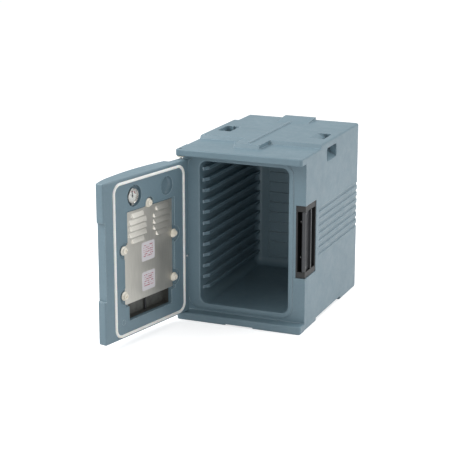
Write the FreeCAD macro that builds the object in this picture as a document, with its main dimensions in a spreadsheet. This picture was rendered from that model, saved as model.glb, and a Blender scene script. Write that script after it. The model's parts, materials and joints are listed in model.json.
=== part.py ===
"""Front-loading insulated food carrier with a heated, side-hinged door.

Frame: origin on the floor under the middle of the carcass, +X to the right of
the front, +Y to the back, +Z up, millimetres.  The door is drawn standing open.
"""
import FreeCAD, Part
import math
import os
import types

import Sketcher

Vector = FreeCAD.Vector

# ---------------------------------------------------------------- driving sizes
SIZES = {
    # carcass, outside
    "carcass_width": 457.0,
    "carcass_depth": 620.0,
    "deck_height": 618.0,        # top of the lip over the door
    "lip_thickness": 25.0,
    "sill_height": 29.0,
    "seat_depth": 45.0,          # from the lip's front back to the door seat
    "plateau_rise": 14.0,
    "plateau_setback": 192.0,
    "plateau_slope": 10.0,
    "bridge_width": 94.0,
    "bridge_offset": -12.0,
    "bridge_setback": 95.0,
    "corner_radius": 14.0,
    "front_edge_radius": 5.0,
    "front_corner_radius": 10.0,
    "top_edge_radius": 7.0,
    "skin": 5.0,                 # wall of each moulded skin around the foam
    # stepped rear corner of the plateau
    "step_width": 22.5,
    "step_setback": 500.0,
    # bead and ramp on top
    "bead_width": 9.0,
    "bead_height": 4.0,
    "bead_setback": 122.0,
    "ramp_width": 120.0,
    "ramp_setback": 511.0,
    "ramp_run": 80.0,
    "ramp_land": 20.0,
    "ramp_height": 10.0,
    # hand grips in the top side edges
    "grip_setback": 252.0,
    "grip_length": 105.0,
    "grip_drop": 73.0,
    "grip_depth": 52.0,
    "grip_bar": 25.0,
    "grip_bar_height": 24.0,
    "grip_radius": 9.0,
    "mouth_shift": 36.0,         # the top mouth lies further back than the side pocket
    "mouth_length": 97.0,
    "ramp_in": 34.0,             # rise of the side pocket's floor towards its back
    "scoop_run": 28.0,           # sloped entry on the inboard side of the top mouth
    "scoop_drop": 13.0,
    # flutes round the sides and back
    "flute_count": 7,
    "flute_pitch": 26.2,
    "flute_low": 240.0,
    "flute_width": 12.5,
    "flute_depth": 3.0,
    "flute_setback": 181.0,
    # feet
    "foot_recess_height": 14.0,
    "foot_recess_depth": 40.0,
    "foot_front": 165.0,
    "foot_rear": 185.0,
    "toe_notch_width": 104.0,
    "toe_notch_height": 5.0,
    "toe_notch_depth": 60.0,
    # cavity, rails and back wall
    "cavity_width": 330.0,
    "cavity_height": 516.0,
    "cavity_floor": 57.0,
    "cavity_back": 578.0,
    "cavity_offset": 1.0,
    "cavity_radius": 26.0,
    "cavity_mouth_radius": 4.5,
    "rim_width": 17.0,
    "rim_hinge_width": 46.0,     # wider beside the hinge, where the gasket lands
    "rim_rise": 2.0,
    "rail_count": 12,
    "rail_pitch": 39.2,
    "rail_low": 102.0,
    "rail_reach": 16.0,
    "rail_height": 12.0,
    "rail_taper": 3.0,
    "rail_setback": 70.0,
    "rail_lead": 22.0,
    "panel_count": 10,
    "panel_width": 222.0,
    "panel_gap": 3.0,
    "panel_rise": 3.0,
    "panel_low": 92.0,
    "panel_first": 62.0,
    # hinge
    "ear_reach": 8.0,
    "ear_length": 93.0,
    "ear_radius": 12.0,
    "hinge_inset": 7.0,          # from the carcass side in to the hinge axis
    "hinge_setback": 13.0,       # from the lip's front back to the hinge axis
    "door_angle": 102.3,
    "rod_radius": 4.5,
    "rod_play": 0.05,
    "bush_wall": 3.0,
    "bush_flange": 13.0,
    "bush_flange_thickness": 3.0,
    "washer_thickness": 4.0,
    "rod_recess": 10.0,
    "sill_bore_floor": 8.0,
    "rod_end_gap": 2.0,
    # door
    "door_float": 0.3,
    "door_top_gap": 11.0,
    "door_gap": 7.5,             # inner face to the door seat when shut
    "door_edge_gap": 1.0,        # free edge inside the carcass side
    "door_edge_thickness": 30.0,
    "door_thickness": 65.5,
    "door_crown_radius": 1060.0,
    "door_crown_place": 202.0,
    "door_bevel_start": 354.0,
    "door_bevel_radius": 330.0,
    "knuckle_width": 54.0,
    "knuckle_thickness": 11.5,
    "knuckle_end": 13.0,
    "knuckle_radius": 8.0,
    "door_edge_radius": 5.0,
    "catch_low": 182.0,
    "catch_height": 268.0,
    "catch_cut": 8.0,
    "catch_ledge_width": 29.0,
    "catch_ledge_depth": 32.0,
    # gasket
    "gasket_width": 10.0,
    "gasket_groove": 4.0,
    "gasket_clearance": 0.5,
    "gasket_hinge_margin": 14.0,
    "gasket_free_margin": 49.0,
    "gasket_low_margin": 5.7,
    "gasket_high_margin": 11.0,
    "gasket_radius": 36.0,
    # heater cover and the recesses behind it
    "cover_middle": 208.0,
    "cover_width": 260.0,
    "cover_low": 144.0,
    "cover_shoulder": 345.0,
    "cover_top": 460.0,
    "cover_shoulder_step": 16.0,
    "cover_tab_width": 32.0,
    "cover_tab_height": 10.0,
    "cover_thickness": 1.2,
    "cover_margin": 6.0,
    "cover_sink": 8.0,
    "well_width": 233.0,
    "well_low": 87.0,
    "well_high": 448.0,
    "well_depth": 36.0,
    "well_radius": 6.0,
    "louvre_rows": 5,
    "louvre_pitch": 21.8,
    "louvre_high": 451.0,
    "louvre_height": 15.0,
    "louvre_rise": 7.0,
    "louvre_length": 92.0,
    "louvre_short": 64.0,
    "louvre_spacing": 132.0,
    # cover knobs
    "knob_radius": 15.5,
    "knob_rim": 4.0,
    "knob_hub_radius": 10.5,
    "knob_height": 12.0,
    "knob_reach": 135.5,         # either side of the cover's middle
    "knob_low": 178.0,
    "knob_high": 335.0,
    "knob_top": 472.0,
    "knob_float": 0.4,
    "knob_bay": 28.0,
    "shank_radius": 4.0,
    "shank_length": 12.0,
    "shank_play": 0.05,
    "shank_notch": 7.0,
    "insert_wall": 3.0,
    "insert_length": 15.0,
    # heater parts
    "tray_clearance": 2.0,
    "tray_thickness": 1.0,
    "tray_depth": 22.0,
    "element_radius": 4.0,
    "element_span": 120.0,
    "element_high": 410.0,
    "element_bend": 30.0,
    "element_standoff": 9.0,
    "clip_width": 8.0,
    "thermostat_radius": 9.0,
    "thermostat_height": 9.0,
    "block_place": 149.0,
    "lead_length": 18.0,         # from the terminal block up to the element
    "block_width": 46.0,
    "block_depth": 14.0,
    "block_height": 18.0,
    "harness_radius": 3.5,
    "harness_gap": 0.5,
    # thermometer and the empty round recess
    "dial_place": 291.0,
    "dial_height": 512.0,
    "dial_radius": 25.5,
    "dial_bay_radius": 37.0,
    "dial_bay_shift": 4.0,
    "dial_bay_depth": 13.0,
    "case_depth": 11.0,
    "case_wall": 1.5,
    "lens_thickness": 1.5,
    "dial_thickness": 0.8,
    "pointer_radius": 1.2,
    "pointer_length": 18.0,
    "vent_place": 112.0,
    "vent_radius": 32.0,
    "vent_depth": 16.0,
    "vent_floor_radius": 10.0,
    # plug of the foam filling hole, and the screw that locks the rod
    "plug_radius": 9.0,
    "plug_place": 355.0,
    "plug_height": 89.0,
    "lock_height": 237.0,
    "lock_radius": 2.5,
    "lock_head_radius": 4.0,
    "lock_head": 2.0,
    # labels on the cover
    "label_width": 70.0,
    "label_height": 66.0,
    "label_place": 211.0,
    "label_low": 168.0,
    "label_high": 272.0,
    "label_thickness": 0.3,
    # mains inlet and pilot lamp, outside of the door
    "inlet_place": 202.0,
    "inlet_height": 61.0,
    "inlet_width": 34.0,
    "inlet_tall": 26.0,
    "inlet_flange": 6.0,
    "inlet_flange_thickness": 3.0,
    "inlet_end": 1.5,            # of the case, past the middle of the supply lead
    "inlet_mouth": 18.0,
    "pin_width": 2.0,
    "pin_height": 4.0,
    "pin_spacing": 7.0,
    "lamp_spacing": 52.0,
    "lamp_radius": 6.0,
    "lamp_depth": 18.0,
    "lamp_dome": 4.0,
    # latch
    "latch_low": 190.0,
    "latch_height": 258.0,
    "latch_width": 35.5,
    "latch_run": 107.0,
    "latch_clearance": 3.0,
    "latch_plate": 6.0,
    "latch_block": 20.0,
    "lever_gap": 1.0,
    "pivot_inset": 8.5,
    "pivot_setback": 7.0,
    "pivot_radius": 7.0,
    "pin_radius": 3.0,
    "pin_play": 0.05,
    "lever_arm": 6.0,
    "lever_tip": 14.0,
    "hook_gap": 0.5,
    "hook_thickness": 6.0,
    "hook_length": 14.0,
    "screw_radius": 2.0,
    "screw_head_radius": 4.5,
    "screw_head": 2.5,
    "screw_bite": 4.0,
}

doc = FreeCAD.newDocument("food_carrier")
sheet = doc.addObject("Spreadsheet::Sheet", "dims")
for row, (alias, number) in enumerate(SIZES.items(), start=1):
    sheet.set(f"A{row}", alias.replace("_", " "))
    sheet.set(f"B{row}", str(number))
    sheet.setAlias(f"B{row}", alias)
doc.recompute()


class Size:
    """A number in millimetres together with the sheet expression that gives it."""

    def __init__(self, text, number):
        self.text = text
        self.number = float(number)

    def __add__(self, other):
        other = as_size(other)
        return Size(f"({self.text} + {other.text})", self.number + other.number)

    def __sub__(self, other):
        other = as_size(other)
        return Size(f"({self.text} - {other.text})", self.number - other.number)

    def __mul__(self, other):
        other = as_size(other)
        return Size(f"({self.text} * {other.text})", self.number * other.number)

    def __truediv__(self, other):
        other = as_size(other)
        return Size(f"({self.text} / {other.text})", self.number / other.number)

    def __neg__(self):
        return Size(f"(0 - {self.text})", -self.number)

    __radd__ = __add__
    __rmul__ = __mul__

    def __rsub__(self, other):
        return as_size(other) - self


def as_size(thing):
    """Turn a plain number into a Size, and leave a Size as it is."""
    return thing if isinstance(thing, Size) else Size(repr(float(thing)), thing)


def root_of(size):
    """Square root of a Size."""
    return Size(f"sqrt({size.text})", math.sqrt(size.number))


dims = types.SimpleNamespace(
    **{alias: Size(f"dims.{alias}", sheet.get(alias)) for alias in SIZES})


# ------------------------------------------------------------------- tools
def bind(thing, prop, size):
    """Tie a property of an object to the sheet."""
    thing.setExpression(prop, as_size(size).text)


def bind_place(thing, x, y, z):
    """Tie the base of an object's placement to the sheet."""
    for letter, size in zip("xyz", (x, y, z)):
        bind(thing, f"Placement.Base.{letter}", size)


def box(name, low, high):
    """A box between two corners."""
    made = doc.addObject("Part::Box", name)
    for prop, start, end in zip(("Length", "Width", "Height"), low, high):
        bind(made, prop, as_size(end) - start)
    bind_place(made, *low)
    return made


TURNS = {
    "+z": FreeCAD.Rotation(Vector(0, 0, 1), 0),
    "-z": FreeCAD.Rotation(Vector(1, 0, 0), 180),
    "+y": FreeCAD.Rotation(Vector(1, 0, 0), -90),
    "-y": FreeCAD.Rotation(Vector(1, 0, 0), 90),
    "+x": FreeCAD.Rotation(Vector(0, 1, 0), 90),
    "-x": FreeCAD.Rotation(Vector(0, 1, 0), -90),
}


def rod(name, foot, way, radius, length):
    """A cylinder that runs from its foot along one of the axes."""
    made = doc.addObject("Part::Cylinder", name)
    made.Placement = FreeCAD.Placement(Vector(), TURNS[way])
    bind(made, "Radius", radius)
    bind(made, "Height", length)
    bind_place(made, *foot)
    return made


def cone(name, foot, way, radius_low, radius_high, length):
    """A cone that runs from its foot along one of the axes."""
    made = doc.addObject("Part::Cone", name)
    made.Placement = FreeCAD.Placement(Vector(), TURNS[way])
    bind(made, "Radius1", radius_low)
    bind(made, "Radius2", radius_high)
    bind(made, "Height", length)
    bind_place(made, *foot)
    return made


def fuse(name, *parts):
    """One solid from several that touch or overlap."""
    made = doc.addObject("Part::MultiFuse", name)
    made.Shapes = list(parts)
    made.Refine = True
    return made


def cut(name, base, *tools):
    """A solid with one or more tools taken out of it."""
    made = doc.addObject("Part::Cut", name)
    made.Base = base
    made.Tool = tools[0] if len(tools) == 1 else fuse(f"{name}_tools", *tools)
    made.Refine = True
    return made


def common(name, first, second):
    """The space that two solids share."""
    made = doc.addObject("Part::Common", name)
    made.Base = first
    made.Tool = second
    return made


def group(name, *parts):
    """Separate solids, or one, under one name."""
    made = doc.addObject("Part::Compound", name)
    made.Links = list(parts)
    return made


def straight(edge, way):
    """Whether an edge is a line along x, y or z."""
    if not isinstance(edge.Curve, Part.Line):
        return False
    return abs(getattr(edge.Curve.Direction, way)) > 0.999


def round_edges(name, base, radius, pick):
    """Round the edges of a solid that pick(edge, middle) chooses."""
    doc.recompute()
    made = doc.addObject("Part::Fillet", name)
    made.Base = base
    chosen = [number for number, edge in enumerate(base.Shape.Edges, start=1)
              if pick(edge, edge.CenterOfMass)]
    if not chosen:
        raise RuntimeError(f"{name}: no edge to round")
    made.Edges = [(number, radius.number, radius.number) for number in chosen]
    return made


def plane_of(body, role):
    """A body's own origin plane."""
    return next(f for f in body.Origin.OriginFeatures if f.Role == role)


def outline(body, name, role, points, radii=None):
    """A closed sketch of straight runs, each corner tied to the sheet.

    radii names the runs that are arcs, by the index of their first corner: the
    arc's radius is positive where it bulges to the right of its run.
    """
    radii = radii or {}
    sketch = body.newObject("Sketcher::SketchObject", name)
    sketch.AttachmentSupport = (plane_of(body, role), [""])
    sketch.MapMode = "FlatFace"
    corners = [Vector(as_size(u).number, as_size(v).number, 0) for u, v in points]
    ends = []
    for index, start in enumerate(corners):
        end = corners[(index + 1) % len(corners)]
        run = (1, 2)
        if index in radii:
            bulge = radii[index].number
            half = (end - start).Length / 2
            across = Vector(end.y - start.y, start.x - end.x, 0).normalize()
            sag = abs(bulge) - math.sqrt(bulge ** 2 - half ** 2)
            middle = (start + end) / 2 + across * math.copysign(sag, bulge)
            if bulge < 0:
                start, end, run = end, start, (2, 1)
            sketch.addGeometry(Part.Arc(start, middle, end), False)
        else:
            sketch.addGeometry(Part.LineSegment(start, end), False)
        ends.append(run)
    for index, (u, v) in enumerate(points):
        after = (index + 1) % len(points)
        sketch.addConstraint(Sketcher.Constraint(
            "Coincident", index, ends[index][1], after, ends[after][0]))
        for kind, place in (("DistanceX", u), ("DistanceY", v)):
            number = sketch.addConstraint(Sketcher.Constraint(
                kind, -1, 1, index, ends[index][0], as_size(place).number))
            bind(sketch, f"Constraints[{number}]", place)
    for index, bulge in radii.items():
        number = sketch.addConstraint(Sketcher.Constraint(
            "Radius", index, abs(bulge.number)))
        bind(sketch, f"Constraints[{number}]", Size(f"abs({bulge.text})", 0))
    return sketch


def padded(name, role, points, length, start=0.0, radii=None):
    """A body padded from an outline on one of its own planes."""
    body = doc.addObject("PartDesign::Body", name)
    sketch = outline(body, f"{name}_outline", role, points, radii)
    bind(sketch, "AttachmentOffset.Base.z", start)
    pad = body.newObject("PartDesign::Pad", f"{name}_pad")
    pad.Profile = sketch
    bind(pad, "Length", length)
    body.Tip = pad
    return body


def framed(name, low, high, depth_low, depth_high, radius):
    """A block with four rounded corners, seen along Y."""
    block = box(f"{name}_block", (low[0], depth_low, low[1]), (high[0], depth_high, high[1]))
    return round_edges(name, block, radius, lambda edge, middle: straight(edge, "y"))


# ------------------------------------------------------------- shared places
right = dims.carcass_width / 2
left = -right
back = dims.carcass_depth / 2
front = -back
seat = front + dims.seat_depth
lip_bottom = dims.deck_height - dims.lip_thickness
plateau_top = dims.deck_height + dims.plateau_rise
cavity_left = dims.cavity_offset - dims.cavity_width / 2
cavity_right = dims.cavity_offset + dims.cavity_width / 2
cavity_rear = front + dims.cavity_back
cavity_top = dims.cavity_floor + dims.cavity_height
hinge_x = left + dims.hinge_inset
hinge_y = front + dims.hinge_setback

# In the door's own frame x runs from the hinge axis to the free edge, y runs in
# towards the cavity, and z is the height above the floor.
face = dims.seat_depth - dims.hinge_setback - dims.door_gap
door_low = dims.sill_height + dims.bush_flange_thickness + dims.door_float
door_high = lip_bottom - dims.door_top_gap
door_edge = dims.carcass_width - dims.hinge_inset - dims.door_edge_gap
ledge = face - dims.cover_sink
well_floor = face - dims.well_depth
cover_face = ledge + dims.cover_thickness


def hang(name, *parts):
    """A door piece: its solids, turned with the open door about the hinge axis."""
    made = group(name, *parts)
    turn = FreeCAD.Rotation(Vector(0, 0, -1), dims.door_angle.number)
    made.Placement = FreeCAD.Placement(Vector(), turn)
    bind_place(made, hinge_x, hinge_y, 0)
    bind(made, "Placement.Rotation.Angle", dims.door_angle)
    return made


def wedge(name, low, high, ridge_low, ridge_high):
    """A block that narrows along Y, from its low face to a ridge given in x and z."""
    made = doc.addObject("Part::Wedge", name)
    for prop, size in zip(("Xmin", "Ymin", "Zmin"), low):
        bind(made, prop, size)
    for prop, size in zip(("Xmax", "Ymax", "Zmax"), high):
        bind(made, prop, size)
    for prop, size in zip(("X2min", "Z2min"), ridge_low):
        bind(made, prop, size)
    for prop, size in zip(("X2max", "Z2max"), ridge_high):
        bind(made, prop, size)
    return made


def near(one, other):
    """Whether a place on a shape is the place that a Size gives."""
    return abs(one - as_size(other).number) < 0.01


PAST = 1.0    # how far a tool runs past the surface that it cuts


# ----------------------------------------------------------- carcass, outside
def plateau_block():
    """The box of the carcass behind the door seat, rounded at back, top and foot."""
    block = box("carcass_block", (left, seat, 0), (right, back, plateau_top))
    block = round_edges("carcass_corners", block, dims.corner_radius,
                        lambda edge, middle: straight(edge, "z") and near(middle.y, back))
    return round_edges(
        "carcass_rounded", block, dims.top_edge_radius,
        lambda edge, middle: (near(middle.z, plateau_top) or near(middle.z, 0))
        and not near(middle.y, seat))


def deck_slope(name, x_low, x_high, setback):
    """A tool that lowers the top to the deck, with a sloped end towards the back."""
    start = seat - PAST
    end = front + setback
    top = plateau_top + PAST
    lean = dims.plateau_slope * (dims.plateau_rise + PAST) / dims.plateau_rise
    profile = [(start, dims.deck_height), (end, dims.deck_height), (end + lean, top),
               (start, top)]
    return padded(name, "YZ_Plane", profile, x_high - x_low, x_low)


def deck_tools():
    """What lowers the front of the top to the deck, leaving the bridge."""
    bridge_left = dims.bridge_offset - dims.bridge_width / 2
    bridge_right = dims.bridge_offset + dims.bridge_width / 2
    corner = box("deck_corner", (left - PAST, front + dims.step_setback, dims.deck_height),
                 (left + dims.step_width, back + PAST, plateau_top + PAST))
    return [deck_slope("deck_left", left - PAST, bridge_left, dims.plateau_setback),
            deck_slope("deck_right", bridge_right, right + PAST, dims.plateau_setback),
            deck_slope("deck_front", bridge_left, bridge_right, dims.bridge_setback),
            corner]


def ear(name, low, high):
    """The lug beside the door's hinge, rounded on its outer side."""
    block = box(f"{name}_block", (left - dims.ear_reach, front, low),
                (left + dims.ear_radius, front + dims.ear_length, high))
    return round_edges(name, block, dims.ear_reach - 0.5,
                       lambda edge, middle: straight(edge, "z")
                       and near(middle.x, left - dims.ear_reach))


def ledge_block(name, low, high):
    """The lip or the sill: a block across the front with a rounded right corner."""
    return round_edges(name, box(f"{name}_block", (left, front, low), (right, seat, high)),
                       dims.front_corner_radius,
                       lambda edge, middle: straight(edge, "z") and near(middle.x, right)
                       and near(middle.y, front))


def top_ramp():
    """The sloped pad at the rear of the top."""
    start = front + dims.ramp_setback
    crest = start + dims.ramp_run
    high = plateau_top + dims.ramp_height
    profile = [(start, plateau_top - PAST), (start, plateau_top), (crest, high),
               (crest + dims.ramp_land, high), (crest + dims.ramp_land, plateau_top - PAST)]
    return padded("top_ramp", "YZ_Plane", profile, dims.ramp_width,
                  dims.cavity_offset - dims.ramp_width / 2)


def carcass_outside():
    """The outer form with its lip, sill, hinge lugs, bead and ramp."""
    lowered = cut("carcass_lowered", plateau_block(), *deck_tools())
    bead_x = dims.bridge_offset
    parts = fuse(
        "carcass_outside", lowered,
        ledge_block("lip", lip_bottom, dims.deck_height),
        ledge_block("sill", as_size(0), dims.sill_height),
        ear("ear_top", lip_bottom, dims.deck_height),
        ear("ear_bottom", as_size(0), dims.sill_height),
        box("top_bead", (bead_x - dims.bead_width / 2, front + dims.bead_setback,
                         plateau_top - PAST),
            (bead_x + dims.bead_width / 2, back - dims.corner_radius,
             plateau_top + dims.bead_height)),
        top_ramp())
    return round_edges(
        "carcass_front_rounded", parts, dims.front_edge_radius,
        lambda edge, middle: straight(edge, "x") and near(middle.y, front)
        and edge.Length > dims.carcass_width.number / 2)


# ------------------------------------------------------------ carcass, cut-outs
def cavity_tool(name, grow):
    """The food cavity, or the same with its wall."""
    block = box(f"{name}_block", (cavity_left - grow, seat - dims.rim_rise - PAST,
                                  dims.cavity_floor - grow),
                (cavity_right + grow, cavity_rear + grow, cavity_top + grow))
    return round_edges(name, block, dims.cavity_radius,
                       lambda edge, middle: straight(edge, "y")
                       or near(middle.y, cavity_rear + grow))


def grip_tool(name, side, grow):
    """One hand grip: a side pocket that opens upwards behind its bar."""
    outer = side * (dims.carcass_width / 2 + PAST)
    deep = side * (dims.carcass_width / 2 - dims.grip_depth - grow)
    bar = side * (dims.carcass_width / 2 - dims.grip_bar + grow)
    start = front + dims.grip_setback - grow
    end = front + dims.grip_setback + dims.grip_length + grow
    mouth_start = start + dims.mouth_shift
    mouth_end = mouth_start + dims.mouth_length + 2 * as_size(grow)
    low = plateau_top - dims.grip_drop - grow
    under_bar = plateau_top - dims.grip_bar_height + grow
    x_low, x_high = (deep, outer) if side > 0 else (outer, deep)
    pocket = round_edges(f"{name}_side",
                         box(f"{name}_side_block", (x_low, start, low),
                             (x_high, end, under_bar)),
                         dims.grip_radius, lambda edge, middle: straight(edge, "x"))
    x_low, x_high = (deep, bar) if side > 0 else (bar, deep)
    mouth = round_edges(f"{name}_top",
                        box(f"{name}_top_block", (x_low, mouth_start, low + dims.grip_radius),
                            (x_high, mouth_end, plateau_top + PAST)),
                        dims.grip_radius, lambda edge, middle: straight(edge, "z"))
    foot = [(outer, low - PAST), (deep, low - PAST), (deep, low + dims.ramp_in)]
    ramp = padded(f"{name}_ramp", "XZ_Plane", foot if side < 0 else foot[::-1],
                  mouth_end - start + 2 * PAST, -mouth_end - PAST)
    inboard = side * (dims.carcass_width / 2 - dims.grip_depth - dims.scoop_run)
    top = [(deep, plateau_top - dims.scoop_drop), (deep, plateau_top + PAST),
           (inboard, plateau_top + PAST), (inboard, plateau_top)]
    scoop = padded(f"{name}_scoop", "XZ_Plane", top if side > 0 else top[::-1],
                   dims.mouth_length, -(front + dims.grip_setback + dims.mouth_shift
                                        + dims.mouth_length))
    hollow = cut(f"{name}_hollow", fuse(f"{name}_pocket", pocket, mouth), ramp)
    return fuse(name, hollow, scoop)


def latch_tool(name, grow):
    """The notch in the right front edge that holds the latch."""
    return box(name, (right - dims.latch_width - grow, seat - PAST, dims.latch_low - grow),
               (right + PAST, seat + dims.latch_run + grow,
                dims.latch_low + dims.latch_height + grow))


def foot_tools(name, grow):
    """The hand recesses under both sides and the notch under the front."""
    start = front + dims.foot_front - grow
    end = back - dims.foot_rear + grow
    high = dims.foot_recess_height + grow
    inner = dims.foot_recess_depth + grow
    notch = dims.toe_notch_width / 2 + grow
    return [
        box(f"{name}_left", (left - PAST, start, -PAST), (left + inner, end, high)),
        box(f"{name}_right", (right - inner, start, -PAST), (right + PAST, end, high)),
        box(f"{name}_toe", (-notch, front - PAST, -PAST),
            (notch, front + dims.toe_notch_depth + grow, dims.toe_notch_height + grow))]


def flutes():
    """The level grooves round both sides and the back."""
    low = dims.flute_low - PAST
    high = dims.flute_low + dims.flute_pitch * dims.flute_count
    deep = dims.flute_depth
    start = front + dims.flute_setback
    outer = box("flute_outer", (left - PAST, start, low), (right + PAST, back + PAST, high))
    core = box("flute_core_block", (left + deep, start - PAST, low - PAST),
               (right - deep, back - deep, high + PAST))
    core = round_edges("flute_core", core, dims.corner_radius - deep,
                       lambda edge, middle: straight(edge, "z")
                       and near(middle.y, back - deep))
    slabs = []
    for index in range(int(dims.flute_count.number)):
        z = dims.flute_low + dims.flute_pitch * index
        slabs.append(box(f"flute_{index}", (left - 2 * PAST, start - PAST, z),
                         (right + 2 * PAST, back + 2 * PAST, z + dims.flute_width)))
    return common("flutes", cut("flute_wrap", outer, core), fuse("flute_slabs", *slabs))


# ------------------------------------------------------------ carcass, cavity
def rim():
    """The raised sealing rim round the opening."""
    wide = dims.rim_width
    return framed("rim", (cavity_left - dims.rim_hinge_width, dims.cavity_floor - wide),
                  (cavity_right + wide, cavity_top + wide),
                  seat - dims.rim_rise, seat + PAST, dims.cavity_radius + wide)


def rails():
    """The moulded pan rails of both cavity walls."""
    start = front + dims.rail_setback
    reach = dims.rail_reach
    root = dims.skin / 2
    low = dims.rail_low
    tall = dims.rail_pitch * dims.rail_count
    columns = []
    for name, wall, inward in (("rails_left", cavity_left, 1), ("rails_right", cavity_right, -1)):
        lead = start + dims.rail_lead
        profile = [(wall - inward * root, start), (wall + inward * dims.rail_taper, start),
                   (wall + inward * reach, lead),
                   (wall + inward * reach, cavity_rear + root),
                   (wall - inward * root, cavity_rear + root)]
        columns.append(padded(name, "XY_Plane", profile, tall, low))
    slabs = []
    for index in range(int(dims.rail_count.number)):
        z = low + dims.rail_pitch * index
        slabs.append(box(f"rail_slab_{index}", (cavity_left - PAST - root, start - PAST, z),
                         (cavity_right + PAST + root, cavity_rear + PAST + root,
                          z + dims.rail_height)))
    return common("rails", fuse("rail_columns", *columns), fuse("rail_slabs", *slabs))


def back_panels():
    """The stack of raised panels on the cavity's back wall."""
    half = dims.panel_width / 2
    panels = []
    for index in range(int(dims.panel_count.number)):
        first = index == 0
        low = (dims.panel_low if first
               else dims.panel_low + dims.panel_first + dims.rail_pitch * (index - 1))
        high = low + (dims.panel_first if first else dims.rail_pitch) - dims.panel_gap
        panels.append(box(f"panel_{index}",
                          (dims.cavity_offset - half, cavity_rear - dims.panel_rise, low),
                          (dims.cavity_offset + half, cavity_rear + dims.skin / 2, high)))
    return panels


def carcass_foam():
    """The foam that fills the carcass between its outer and inner skins."""
    skin = dims.skin
    block = box("carcass_foam_block", (left + skin, seat + skin, skin),
                (right - skin, back - skin, dims.deck_height - skin))
    return cut("carcass_foam_space", block, cavity_tool("cavity_wall", skin),
               grip_tool("grip_right_wall", 1, skin), grip_tool("grip_left_wall", -1, skin),
               latch_tool("latch_wall", skin), *foot_tools("foot_wall", skin))


bush_radius = dims.rod_radius + dims.rod_play + dims.bush_wall
plug_y = back - dims.skin
plug_z = dims.flute_low + dims.flute_pitch * (dims.flute_count + 1)
foam = carcass_foam()
opened = cut("carcass_opened", fuse("carcass_with_rim", carcass_outside(), rim()),
             cavity_tool("cavity", as_size(0)))
softened = round_edges(
    "carcass_mouth", opened, dims.cavity_mouth_radius,
    lambda edge, middle: near(middle.y, seat - dims.rim_rise)
    and cavity_left.number - 0.01 < middle.x < cavity_right.number + 0.01
    and dims.cavity_floor.number - 0.01 < middle.z < cavity_top.number + 0.01)
shaped = cut("carcass_shaped", softened, flutes(), latch_tool("latch_notch", 0),
             grip_tool("grip_right", 1, 0), grip_tool("grip_left", -1, 0),
             *foot_tools("foot", 0))
railed = fuse("carcass_railed", shaped, rails(), *back_panels())

latch_wall_x = right - dims.latch_width
pivot_x = right - dims.pivot_inset
pivot_y = seat + dims.pivot_setback
latch_base_low = dims.latch_low + dims.latch_clearance
latch_base_high = dims.latch_low + dims.latch_height - PAST
screw_places = [
    (seat + dims.latch_run * part, latch_base_low + (latch_base_high - latch_base_low) * level)
    for part in (0.35, 0.8) for level in (0.25, 0.75)]


def screw_shanks(name, radius):
    """The four latch screws' shanks, or their holes."""
    bite = dims.screw_bite
    return [rod(f"{name}_{index}", (latch_wall_x - bite, y, z), "+x", radius,
                bite + dims.latch_plate)
            for index, (y, z) in enumerate(screw_places)]


carcass = group(
    "carcass_shell",
    cut("carcass_hollow", railed, foam,
        rod("plug_hole", (0, plug_y - PAST, plug_z), "+y", dims.plug_radius,
            dims.skin + 2 * PAST),
        rod("bore_top", (hinge_x, hinge_y, lip_bottom - PAST), "+z", bush_radius,
            dims.lip_thickness + 2 * PAST),
        rod("bore_bottom", (hinge_x, hinge_y, dims.sill_bore_floor), "+z", bush_radius,
            dims.sill_height),
        *screw_shanks("screw_hole", dims.screw_radius)))
carcass_fill = group("carcass_foam", foam)
carcass_plug = group("carcass_plug", rod("carcass_plug_disc", (0, plug_y, plug_z), "+y",
                                         dims.plug_radius, dims.skin))


# ---------------------------------------------------------------- hinge bushes
def bush(name, low, high, flange_low, flange_high):
    """A flanged nylon bush with its running bore."""
    bore = dims.rod_radius + dims.rod_play
    body = fuse(f"{name}_body",
                rod(f"{name}_tube", (hinge_x, hinge_y, low), "+z", bush_radius, high - low),
                rod(f"{name}_flange", (hinge_x, hinge_y, flange_low), "+z",
                    dims.bush_flange, flange_high - flange_low))
    floor = low if low.number < flange_low.number else flange_low
    ceiling = high if high.number > flange_high.number else flange_high
    return group(name, cut(f"{name}_bored", body,
                           rod(f"{name}_bore", (hinge_x, hinge_y, floor - PAST), "+z",
                               bore, ceiling - floor + 2 * PAST)))


top_bush_end = dims.deck_height - dims.rod_recess / 2
hinge_bush_top = bush("hinge_bush_top", lip_bottom, top_bush_end,
                      lip_bottom - dims.washer_thickness, lip_bottom)
hinge_bush_bottom = bush("hinge_bush_bottom", dims.sill_bore_floor, dims.sill_height,
                         dims.sill_height, dims.sill_height + dims.bush_flange_thickness)


# ----------------------------------------------------------------------- latch
def latch_base():
    """The black nylon bracket: a back plate, a rear wall and the two pin blocks."""
    y_low = seat + PAST
    y_high = seat + dims.latch_run - PAST
    outer = right - 1.5 * PAST
    low, high = latch_base_low, latch_base_high
    block = dims.latch_block
    plate = dims.latch_plate
    body = fuse(
        "latch_base_body",
        box("latch_back", (latch_wall_x, y_low, low), (latch_wall_x + plate, y_high, high)),
        box("latch_rear", (latch_wall_x, y_high - plate, low), (outer, y_high, high)),
        box("latch_foot", (latch_wall_x, y_low, low), (outer, y_high, low + block)),
        box("latch_head", (latch_wall_x, y_low, high - block), (outer, y_high, high)))
    pin = rod("latch_pin_hole", (pivot_x, pivot_y, low + 2 * PAST), "+z", dims.pin_radius,
              high - low - 4 * PAST)
    return group("latch_base", cut("latch_base_bored", body, pin,
                                   *screw_shanks("latch_hole", dims.screw_radius)))


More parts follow.
